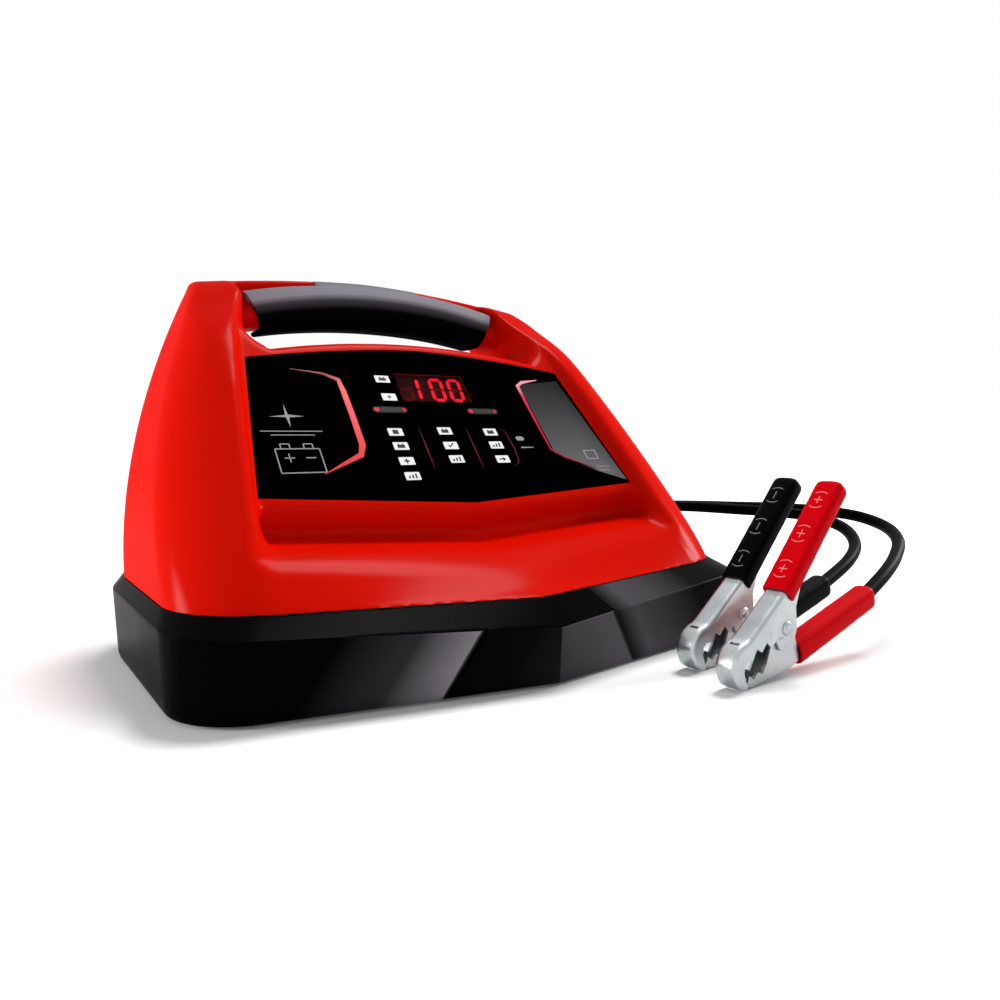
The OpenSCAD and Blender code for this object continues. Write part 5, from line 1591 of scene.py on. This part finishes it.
@dataclass(frozen=True)
class Coat:
    """One finish: its colour, gloss, grain and wear."""

    colour: tuple[float, float, float]
    rough: float
    worn: Optional[tuple[float, float, float]] = None
    metal: float = 0.0
    gloss: float = 0.0
    gloss_rough: float = 0.08
    specular: float = 0.14
    ior: float = 1.5
    grain: float = 900.0
    tone: float = 0.06
    rough_spread: float = 0.12
    relief: float = 0.03
    wear: float = 0.0

    def made(self, name: str, surface: Surface) -> Material:
        """Builds the material.

        Args:
            name: The material's name.
            surface: The shared group.

        Returns:
            The material, with the Principled shader in it named Finish.
        """
        material = bpy.data.materials.new(name)
        material.use_nodes = True
        tree = material.node_tree
        shader = tree.nodes["Principled BSDF"]
        shader.name = "Finish"
        group = tree.nodes.new("ShaderNodeGroup")
        group.name = "Surface"
        group.node_tree = surface.tree
        bump = tree.nodes.new("ShaderNodeBump")
        settings = {
            shader: {
                "Metallic": self.metal,
                "Specular IOR Level": self.specular,
                "IOR": self.ior,
                "Coat Weight": self.gloss,
                "Coat Roughness": self.gloss_rough,
            },
            group: {
                "Colour": linear(self.colour),
                "Worn Colour": linear(self.worn or self.colour),
                "Grain Scale": self.grain,
                "Tone Spread": self.tone,
                "Roughness": self.rough,
                "Roughness Spread": self.rough_spread,
                "Relief": self.relief,
                "Wear": self.wear,
            },
            bump: {"Distance": 0.001, "Strength": 1.0},
        }
        for node, values in settings.items():
            for key, value in values.items():
                node.inputs[key].default_value = value
        tree.links.new(group.outputs["Colour"], shader.inputs["Base Color"])
        tree.links.new(group.outputs["Roughness"], shader.inputs["Roughness"])
        tree.links.new(group.outputs["Height"], bump.inputs["Height"])
        tree.links.new(bump.outputs["Normal"], shader.inputs["Normal"])
        material.diffuse_color = linear(self.colour)
        return material


Stops = Sequence[tuple[float, tuple[float, float, float]]]


def object_axes(tree: Tree) -> bpy.types.bpy_prop_collection:
    """Adds the place on the object and gives its X, Y and Z sockets."""
    coords, parts = tree.nodes.new("ShaderNodeTexCoord"), tree.nodes.new("ShaderNodeSeparateXYZ")
    tree.links.new(coords.outputs["Object"], parts.inputs[0])
    return parts.outputs


def colour_at(tree: Tree, place: Socket, stops: Stops) -> Socket:
    """Adds a row of colours along a line.

    Args:
        tree: The node tree.
        place: The socket of the place on the line, in metres.
        stops: Places in millimetres and the colour at each, in order.

    Returns:
        The colour's socket.
    """
    low, high = stops[0][0], stops[-1][0]
    span, ramp = tree.nodes.new("ShaderNodeMapRange"), tree.nodes.new("ShaderNodeValToRGB")
    span.inputs["From Min"].default_value = low * MM
    span.inputs["From Max"].default_value = high * MM
    tree.links.new(place, span.inputs["Value"])
    elements = ramp.color_ramp.elements
    while len(elements) < len(stops):
        elements.new(0.5)
    for element, (stop, colour) in zip(elements, stops):
        element.position = (stop - low) / (high - low)
        element.color = linear(colour)
    tree.links.new(span.outputs["Result"], ramp.inputs["Fac"])
    return ramp.outputs["Color"]


def graded(material: Material, stops: Stops, glow: float = 0.0, arch: float = 0.0) -> None:
    """Gives a finish a colour that changes with the height.

    Args:
        material: The finish to change.
        stops: Heights in millimetres and the colour at each, in order.
        glow: Strength of the same colour as light, or 0.
        arch: How much the stops sink with the square of x, per millimetre.
    """
    tree = material.node_tree
    axes = object_axes(tree)
    square = node_sum(tree, "MULTIPLY", axes["X"], axes["X"])
    level = node_sum(tree, "MULTIPLY_ADD", square, arch / MM, axes["Z"])
    colour = colour_at(tree, level, stops)
    tree.links.new(colour, tree.nodes["Surface"].inputs["Colour"])
    if glow:
        shader = tree.nodes["Finish"]
        shader.inputs["Emission Strength"].default_value = glow
        tree.links.new(colour, shader.inputs["Emission Color"])


@dataclass(frozen=True)
class PaintedFacetReflections:
    """Painted reflections and shade on the tray's slanted facets, on its front wall and on part of its bevel.

    The place along the wall is x's own sign times the sum of x's size and the slant
    times z, so that the stops follow the diagonal grooves. Behind the plane y = front
    the finish keeps its own colour, and so does the bevel, above the line foot + rise
    times the size of x, up to the place bare.
    """

    stops: Stops = (
        (-170, (2, 2, 2)),
        (-118, (3, 3, 3)),
        (-84, (46, 44, 47)),
        (-56.5, (132, 127, 134)),
        (-55.5, (5, 5, 6)),
        (-30, (8, 8, 9)),
        (-1, (26, 25, 27)),
        (1, (54, 52, 55)),
        (55, (84, 81, 86)),
        (56, (12, 11, 12)),
        (70, (76, 73, 78)),
        (90, (66, 63, 67)),
        (125, (12, 12, 13)),
        (170, (3, 3, 3)),
    )
    slant: float = 0.63
    front: float = -66.0
    fade: float = 12.0
    foot: float = 27.2
    rise: float = Tray.dip / Tray.half_w
    bare: float = 56.0

    def on(self, material: Material) -> None:
        """Lays the painted reflections and shade over a finish."""
        tree = material.node_tree
        link, total, axes = tree.links.new, partial(node_sum, tree), object_axes(tree)
        size = total("ABSOLUTE", axes["X"])
        place = total("MULTIPLY", total("MULTIPLY_ADD", axes["Z"], self.slant, size), total("SIGN", axes["X"]))
        edge, mix = tree.nodes.new("ShaderNodeMapRange"), tree.nodes.new("ShaderNodeMix")
        edge.inputs["From Min"].default_value = self.front * MM
        edge.inputs["From Max"].default_value = (self.front - self.fade) * MM
        link(axes["Y"], edge.inputs["Value"])
        below = total("LESS_THAN", axes["Z"], total("MULTIPLY_ADD", size, self.rise, self.foot * MM))
        shown = total("MAXIMUM", below, total("GREATER_THAN", place, self.bare * MM))
        mix.data_type = "RGBA"
        colour = tree.nodes["Surface"].inputs["Colour"]
        mix.inputs["A"].default_value = colour.default_value
        link(colour_at(tree, place, self.stops), mix.inputs["B"])
        link(total("MULTIPLY", edge.outputs["Result"], shown), mix.inputs["Factor"])
        link(mix.outputs["Result"], colour)


def glowing(material: Material, colour: Sequence[float], strength: float) -> None:
    """Makes a finish give off light of a colour."""
    shader = material.node_tree.nodes["Finish"]
    shader.inputs["Emission Color"].default_value = linear(colour)
    shader.inputs["Emission Strength"].default_value = strength


COATS: dict[str, Coat] = {
    "tray_black": Coat(
        (2, 2, 3), 0.3, ior=1.2, worn=(8, 8, 9), specular=0.03,
        grain=1400, relief=0.035, tone=0.12, rough_spread=0.12, wear=0.25,
    ),
    "shell_red": Coat(
        (202, 13, 0), 0.5, worn=(208, 18, 2), specular=0.0, ior=1.1, gloss=0.055, gloss_rough=0.2,
        grain=1100, relief=0.012, tone=0.03, wear=0.1,
    ),
    "grip_rubber": Coat(
        (11, 12, 15), 0.45, ior=1.04, worn=(22, 24, 28), specular=0.02,
        grain=1600, relief=0.06, tone=0.08, wear=0.3,
    ),
    "foot_rubber": Coat((28, 28, 29), 0.8, worn=(60, 60, 60), grain=1200, relief=0.1, tone=0.1, wear=0.3),
    "panel_gloss": Coat(
        (0, 0, 0), 0.14, ior=1.06, worn=(2, 2, 2), specular=0.02,
        grain=500, relief=0.002, tone=0.1, rough_spread=0.06,
    ),
    "accent_red": Coat((214, 20, 40), 0.32, worn=(240, 60, 80), gloss=0.3, grain=700, relief=0.006, wear=0.1),
    "window_tint": Coat(
        (52, 6, 14), 0.08, worn=(44, 6, 10),
        grain=500, relief=0.001, tone=0.02, rough_spread=0.04,
    ),
    "module_black": Coat((26, 2, 6), 0.5, worn=(34, 6, 10), specular=0.04, grain=900, relief=0.02, tone=0.08),
    "digit_red": Coat((214, 16, 50), 0.4, worn=(220, 50, 70), grain=500, relief=0.004),
    "lens_white": Coat(
        (226, 226, 224), 0.35, worn=(200, 200, 198),
        grain=800, relief=0.008, tone=0.03, wear=0.2,
    ),
    "button_black": Coat(
        (12, 12, 12), 0.42, worn=(26, 26, 26), specular=0.08,
        grain=1500, relief=0.04, wear=0.3,
    ),
    "switch_grey": Coat((88, 90, 94), 0.5, worn=(110, 112, 116), grain=900, relief=0.03),
    "board_green": Coat(
        (18, 84, 44), 0.42, worn=(30, 112, 62), gloss=0.3,
        grain=500, relief=0.03, tone=0.15, wear=0.5,
    ),
    "screw_steel": Coat(
        (150, 152, 156), 0.34, worn=(90, 90, 94), metal=1.0,
        grain=1500, relief=0.02, wear=0.4,
    ),
    "core_steel": Coat(
        (92, 92, 96), 0.5, worn=(64, 58, 54), metal=0.8,
        grain=1200, relief=0.05, tone=0.15, wear=0.5,
    ),
    "winding_copper": Coat(
        (176, 88, 42), 0.34, worn=(120, 52, 24), metal=0.9,
        grain=1600, relief=0.08, tone=0.15, wear=0.4,
    ),
    "sink_aluminium": Coat(
        (186, 188, 192), 0.4, worn=(150, 152, 156), metal=1.0,
        grain=1400, relief=0.03, wear=0.3,
    ),
    "chip_black": Coat((24, 24, 26), 0.55, worn=(44, 44, 46), grain=1400, relief=0.04),
    "capacitor_sleeve": Coat(
        (28, 40, 92), 0.36, worn=(52, 66, 120), gloss=0.2,
        grain=900, relief=0.02, wear=0.2,
    ),
    "relay_case": Coat((40, 92, 150), 0.42, worn=(64, 116, 172), grain=900, relief=0.02, wear=0.2),
    "fuse_amber": Coat((206, 132, 30), 0.3, worn=(226, 160, 62), gloss=0.2, grain=700, relief=0.01),
    "fan_black": Coat((26, 26, 28), 0.45, worn=(48, 48, 50), grain=1300, relief=0.04, wear=0.2),
    "gland_rubber": Coat(
        (13, 13, 14), 0.55, specular=0.3, worn=(44, 44, 45),
        grain=1500, relief=0.07, wear=0.3,
    ),
    "lead_rubber": Coat(
        (1, 1, 2), 0.45, ior=1.2, specular=0.05, worn=(12, 12, 13),
        grain=1300, relief=0.05, tone=0.1, wear=0.3,
    ),
    "clamp_steel": Coat(
        (176, 182, 184), 0.34, worn=(104, 108, 110), metal=1.0,
        grain=420, relief=0.06, tone=0.55, rough_spread=0.24, wear=0.4,
    ),
    "spring_steel": Coat(
        (122, 124, 130), 0.3, worn=(80, 80, 84), metal=1.0,
        grain=1500, relief=0.02, wear=0.3,
    ),
    "sleeve_red": Coat(
        (196, 3, 14), 0.42, specular=0.05, ior=1.2, worn=(206, 24, 34),
        grain=700, relief=0.06, tone=0.1, wear=0.15,
    ),
    "sleeve_black": Coat(
        (2, 2, 2), 0.42, ior=1.2, specular=0.07, worn=(16, 16, 16),
        grain=700, relief=0.06, tone=0.1, wear=0.2,
    ),
    "crimp_copper": Coat(
        (188, 110, 66), 0.36, worn=(140, 74, 42), metal=1.0,
        grain=1200, relief=0.04, wear=0.4,
    ),
}


# Finishes of pieces that differ from their slot's own, by attribute of Finishes.
EXTRA_COATS: dict[str, tuple[str, Coat]] = {
    "accent_deep": ("accent_deep", Coat((132, 6, 16), 0.36, specular=0.06, grain=700, relief=0.004)),
    "pointer": ("key_pointer", Coat((214, 12, 44), 0.4, specular=0.06, grain=700, relief=0.004)),
    "unlit": ("digit_dark", Coat((84, 8, 20), 0.5, specular=0.05, grain=600, relief=0.004)),
    "patch": (
        "panel_shade",
        Coat((60, 60, 62), 0.5, specular=0.04, grain=500, relief=0.0, tone=0.02, rough_spread=0.02),
    ),
    "mark": ("panel_print", Coat((150, 150, 152), 0.4, specular=0.05, grain=900, relief=0.004)),
    "divider": ("panel_rule", Coat((120, 4, 24), 0.4, specular=0.05, grain=700, relief=0.004)),
    "glyph": ("lens_print", Coat((26, 26, 28), 0.4, grain=900, relief=0.004)),
    "inlay": ("key_rib", Coat((46, 45, 41), 0.5, specular=0.06, grain=1500, relief=0.05)),
    "mark_on_red": ("mark_on_red", Coat((232, 112, 118), 0.45, grain=900, relief=0.01)),
    "mark_on_black": ("mark_on_black", Coat((128, 126, 118), 0.45, grain=900, relief=0.01)),
}

# Colours by height, by attribute of Finishes: the stops, then what else graded takes.
GRADES: dict[str, tuple[Stops, dict[str, float]]] = {
    # Painted highlight and shade: the grip turns light grey along its top and black underneath, following the top's
    # arch.
    "grip": (
        [(176, (0, 0, 0)), (189, (6, 7, 8)), (194, (64, 63, 68)), (198, (146, 143, 151)), (206, (124, 121, 128))],
        {"arch": Housing.grip_top_drop / Housing.grip_top_half**2},
    ),
    # Painted glow: the printed left bracket gives off a little light of its own colour.
    "accent": (
        [(90, (132, 6, 16)), (97, (206, 22, 34)), (112, (222, 48, 52)), (138, (232, 82, 84)), (145, (132, 6, 16))],
        {"glow": 0.08},
    ),
    # Painted glow: the printed right bracket gives off a little light of its own colour.
    "accent_deep": (
        [(88, (110, 2, 26)), (104, (186, 12, 50)), (136, (206, 40, 66)), (143, (236, 150, 156))],
        {"glow": 0.05},
    ),
    "patch": ([(84, (112, 112, 114)), (104, (84, 84, 86)), (128, (50, 50, 52)), (143, (14, 14, 15))], {}),
    "divider": ([(84, (24, 0, 4)), (97, (128, 2, 30)), (110, (96, 2, 22)), (120, (20, 0, 4))], {}),
}


class Finishes:
    """Every finish of the charger, by the record's slot and by the piece it is on."""

    def __init__(self) -> None:
        """Builds the shared group, a material for each slot and the few special ones."""
        surface = Surface()
        self.by_slot = {slot: coat.made(slot, surface) for slot, coat in COATS.items()}
        get = self.by_slot.__getitem__
        self.shell, self.tray, self.grip = get("shell_red"), get("tray_black"), get("grip_rubber")
        self.foot, self.sheet, self.module = get("foot_rubber"), get("panel_gloss"), get("module_black")
        self.lens, self.lit, self.key = get("lens_white"), get("digit_red"), get("button_black")
        self.gland, self.lead, self.accent = get("gland_rubber"), get("lead_rubber"), get("accent_red")
        self.steel, self.spring = get("clamp_steel"), get("spring_steel")
        self.sleeve_red, self.sleeve_black = get("sleeve_red"), get("sleeve_black")
        self.window = self.glass("window_glass", get("window_tint"))
        for attribute, (name, coat) in EXTRA_COATS.items():
            setattr(self, attribute, coat.made(name, surface))
        # painted reflections and shade: grey bands on the tray's black front facets
        PaintedFacetReflections().on(self.tray)
        for attribute, (stops, options) in GRADES.items():
            graded(getattr(self, attribute), stops, **options)
        # Painted glow: the red key pointers, which are not lit, give off a little light of their own.
        glowing(self.pointer, (230, 16, 52), 0.25)
        glowing(self.lit, (226, 18, 54), 0.6)
        # Painted glow: the pale lenses, which are not lit, give off a little light of their own.
        glowing(self.lens, (226, 226, 224), 0.12)

    def glass(self, name: str, source: Material) -> Material:
        """Clear tinted copy of a finish."""
        material = source.copy()
        material.name = name
        shader = material.node_tree.nodes["Finish"]
        shader.inputs["Transmission Weight"].default_value = 1.0
        shader.inputs["IOR"].default_value = 1.06
        for link in list(shader.inputs["Base Color"].links):
            material.node_tree.links.remove(link)
        shader.inputs["Base Color"].default_value = linear((236, 170, 176))
        return material

    def on_solids(self) -> None:
        """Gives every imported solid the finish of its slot."""
        slots = {part["node"]: part["material_slot"] for part in frame["record"]["subparts"]}
        for name, node in frame["nodes"].items():
            if name in slots:
                node.data.materials.clear()
                node.data.materials.append(self.by_slot[slots[name]])
                log.info("%s: %s", name, slots[name])


# ---------- studio ----------


@dataclass(frozen=True)
class Studio:
    """Pale floor, soft lamps and the camera."""

    eye: tuple[float, float, float] = (-0.2235, -0.3936, 0.1129)
    aim: tuple[float, float, float] = (0.5560, 0.8274, -0.0793)
    lens: float = 29.43
    middle: tuple[float, float, float] = (0.02, -0.03, 0.08)
    ambient: float = 0.34
    floor_glow: float = 0.36

    def camera(self) -> None:
        """Sets the camera level, looking along its aim."""
        data = bpy.data.cameras.new("camera")
        data.lens = self.lens
        data.sensor_width = 36.0
        data.sensor_fit = "HORIZONTAL"
        data.clip_start, data.clip_end = 0.01, 50.0
        camera = added("camera", data)
        camera.location = self.eye
        camera.rotation_euler = Vector(self.aim).to_track_quat("-Z", "Y").to_euler()
        bpy.context.scene.camera = camera

    def lamp(self, name: str, place: Sequence[float], size: tuple[float, float], watts: float) -> None:
        """Adds one soft rectangular lamp.

        Args:
            name: The lamp's name.
            place: Where it stands, in metres. It points at the charger's middle.
            size: Its width and height.
            watts: Its power.
        """
        data = bpy.data.lights.new(name, "AREA")
        data.shape = "RECTANGLE"
        data.size, data.size_y = size
        data.energy = watts
        lamp = added(name, data)
        lamp.location = place
        way = Vector(self.middle) - Vector(place)
        lamp.rotation_euler = way.to_track_quat("-Z", "Y").to_euler()

    def seen_rays(self, tree: Tree) -> Socket:
        """1 for camera, glossy and transmission rays, and 0 for the rest."""
        path = tree.nodes.new("ShaderNodeLightPath").outputs
        first = node_sum(tree, "MAXIMUM", path["Is Camera Ray"], path["Is Glossy Ray"])
        return node_sum(tree, "MAXIMUM", first, path["Is Transmission Ray"])

    def seen_strength(self, tree: Tree, lighting: float, seen: float) -> Socket:
        """A strength that differs for the rays that see a thing and those that it lights.

        Args:
            tree: The node tree to build in.
            lighting: The strength for diffuse rays.
            seen: The strength for camera, glossy and transmission rays.

        Returns:
            The strength's socket.
        """
        span = tree.nodes.new("ShaderNodeMapRange")
        span.inputs["To Min"].default_value = lighting
        span.inputs["To Max"].default_value = seen
        tree.links.new(self.seen_rays(tree), span.inputs["Value"])
        return span.outputs["Result"]

    def surroundings(self) -> None:
        """White for the rays that see it, and a soft grey that lights the object."""
        world = bpy.data.worlds.new("studio")
        bpy.context.scene.world = world
        world.use_nodes = True
        background = world.node_tree.nodes["Background"]
        background.inputs["Color"].default_value = (1, 1, 1, 1)
        strength = self.seen_strength(world.node_tree, self.ambient, 1.0)
        world.node_tree.links.new(strength, background.inputs["Strength"])

    def floor(self) -> None:
        """A wide pale floor that keeps the shadow and otherwise looks white.

        Its glow, for the rays that see it, grows with the distance from the origin.
        """
        reach, level = 40000, -0.3
        corners = [[x * reach, y * reach, level] for x, y in ((-1, -1), (1, -1), (1, 1), (-1, 1))]
        mesh = new_mesh("floor", np.array(corners), [[0, 1, 2, 3]])
        floor = added("floor", mesh)
        material = bpy.data.materials.new("pale_floor")
        material.use_nodes = True
        tree = material.node_tree
        shader = tree.nodes["Principled BSDF"]
        shader.inputs["Base Color"].default_value = (0.93, 0.93, 0.93, 1)
        shader.inputs["Roughness"].default_value = 0.9
        shader.inputs["Specular IOR Level"].default_value = 0.0
        shader.inputs["Emission Color"].default_value = (1, 1, 1, 1)
        kinds = ("TexCoord", "VectorMath", "MapRange")
        coords, distance, near = (tree.nodes.new("ShaderNode" + kind) for kind in kinds)
        distance.operation = "LENGTH"
        tree.links.new(coords.outputs["Object"], distance.inputs[0])
        tree.links.new(distance.outputs["Value"], near.inputs["Value"])
        glow = {"From Min": 0.24, "From Max": 0.9, "To Min": self.floor_glow * 0.1, "To Max": self.floor_glow}
        for key, value in glow.items():
            near.inputs[key].default_value = value
        seen = node_sum(tree, "MULTIPLY", self.seen_strength(tree, 0.0, 1.0), near.outputs["Result"])
        tree.links.new(seen, shader.inputs["Emission Strength"])
        mesh.materials.append(material)

    def sun(self, name: str, way: Sequence[float], spread: float, strength: float) -> None:
        """Adds an even, very soft light from one direction."""
        data = bpy.data.lights.new(name, "SUN")
        data.angle = math.radians(spread)
        data.energy = strength
        lamp = added(name, data)
        lamp.location = (0, 0, 2)
        lamp.rotation_euler = Vector(way).to_track_quat("-Z", "Y").to_euler()

    def lights(self) -> None:
        """An even key from high on the right, and soft boxes to the left, right and front."""
        self.sun("key", (-0.42, -0.2, -1.0), 22, 2.3)
        self.lamp("left_box", (-1.3, 0.4, 0.26), (0.36, 0.44), 15)
        self.lamp("right_box", (1.2, -0.16, 0.5), (0.24, 0.3), 11)
        self.lamp("front_box", (-0.9, -1.3, 0.5), (0.9, 0.6), 1.4)


# ---------- the whole ----------


def clamp_pieces(clamp: Clamp) -> list[object]:
    """The visual pieces and the shown solids that hang on a lead."""
    tag = clamp.polarity.value
    replaced = ("_jaw", "_rivet", "_sleeve", "_spring")
    meshes = [item for item in bpy.data.objects if item.type == "MESH" and item.name.startswith(tag + "_")]
    hidden = [item for item in meshes if item.name.startswith(tag + "_clamp") and item.name.endswith(replaced)]
    return [item for item in meshes if item not in hidden and item.name != tag + "_lead"]


def main() -> None:
    """Builds the charger piece by piece, then the studio round it."""
    logging.basicConfig(level=logging.INFO, format="%(name)s %(message)s")
    scene = bpy.context.scene
    scene.view_settings.view_transform = "Standard"
    studio = Studio()
    studio.camera()
    finishes = Finishes()
    finishes.on_solids()
    plus, minus = Clamp(Polarity.PLUS, (59, -157)), Clamp(Polarity.MINUS, (68, -125))
    leads = (
        Lead(
            plus,
            (184.98, 44.1, 61),
            (
                (206, 42, 61), (228, 28, 61), (248, 4, 61), (266, -21, 61), (281, -45, 60),
                (285, -71, 58), (275, -97, 54), (254, -118, 49), (228, -132, 43), (201, -142, 37),
            ),
        ),
        Lead(
            minus,
            (184.98, 35.9, 61),
            (
                (205, 34, 61), (223, 20, 61), (240, -3, 60), (256, -26, 59),
                (267, -49, 57), (264, -74, 52), (247, -94, 45), (219, -108, 38),
            ),
        ),
    )
    cables = [lead.dressed(finishes) for lead in leads]
    for clamp in (plus, minus):
        clamp.dressed(finishes)
    for lead, cable in zip(leads, cables):
        lead.declared(cable, clamp_pieces(lead.clamp))
    Gland().dressed(finishes)
    Housing().dressed(finishes, 1.9)
    Tray().dressed(finishes)
    Grip().dressed(finishes)
    Display().dressed(finishes)
    studio.surroundings()
    studio.floor()
    studio.lights()


if __name__ == "__main__":
    main()
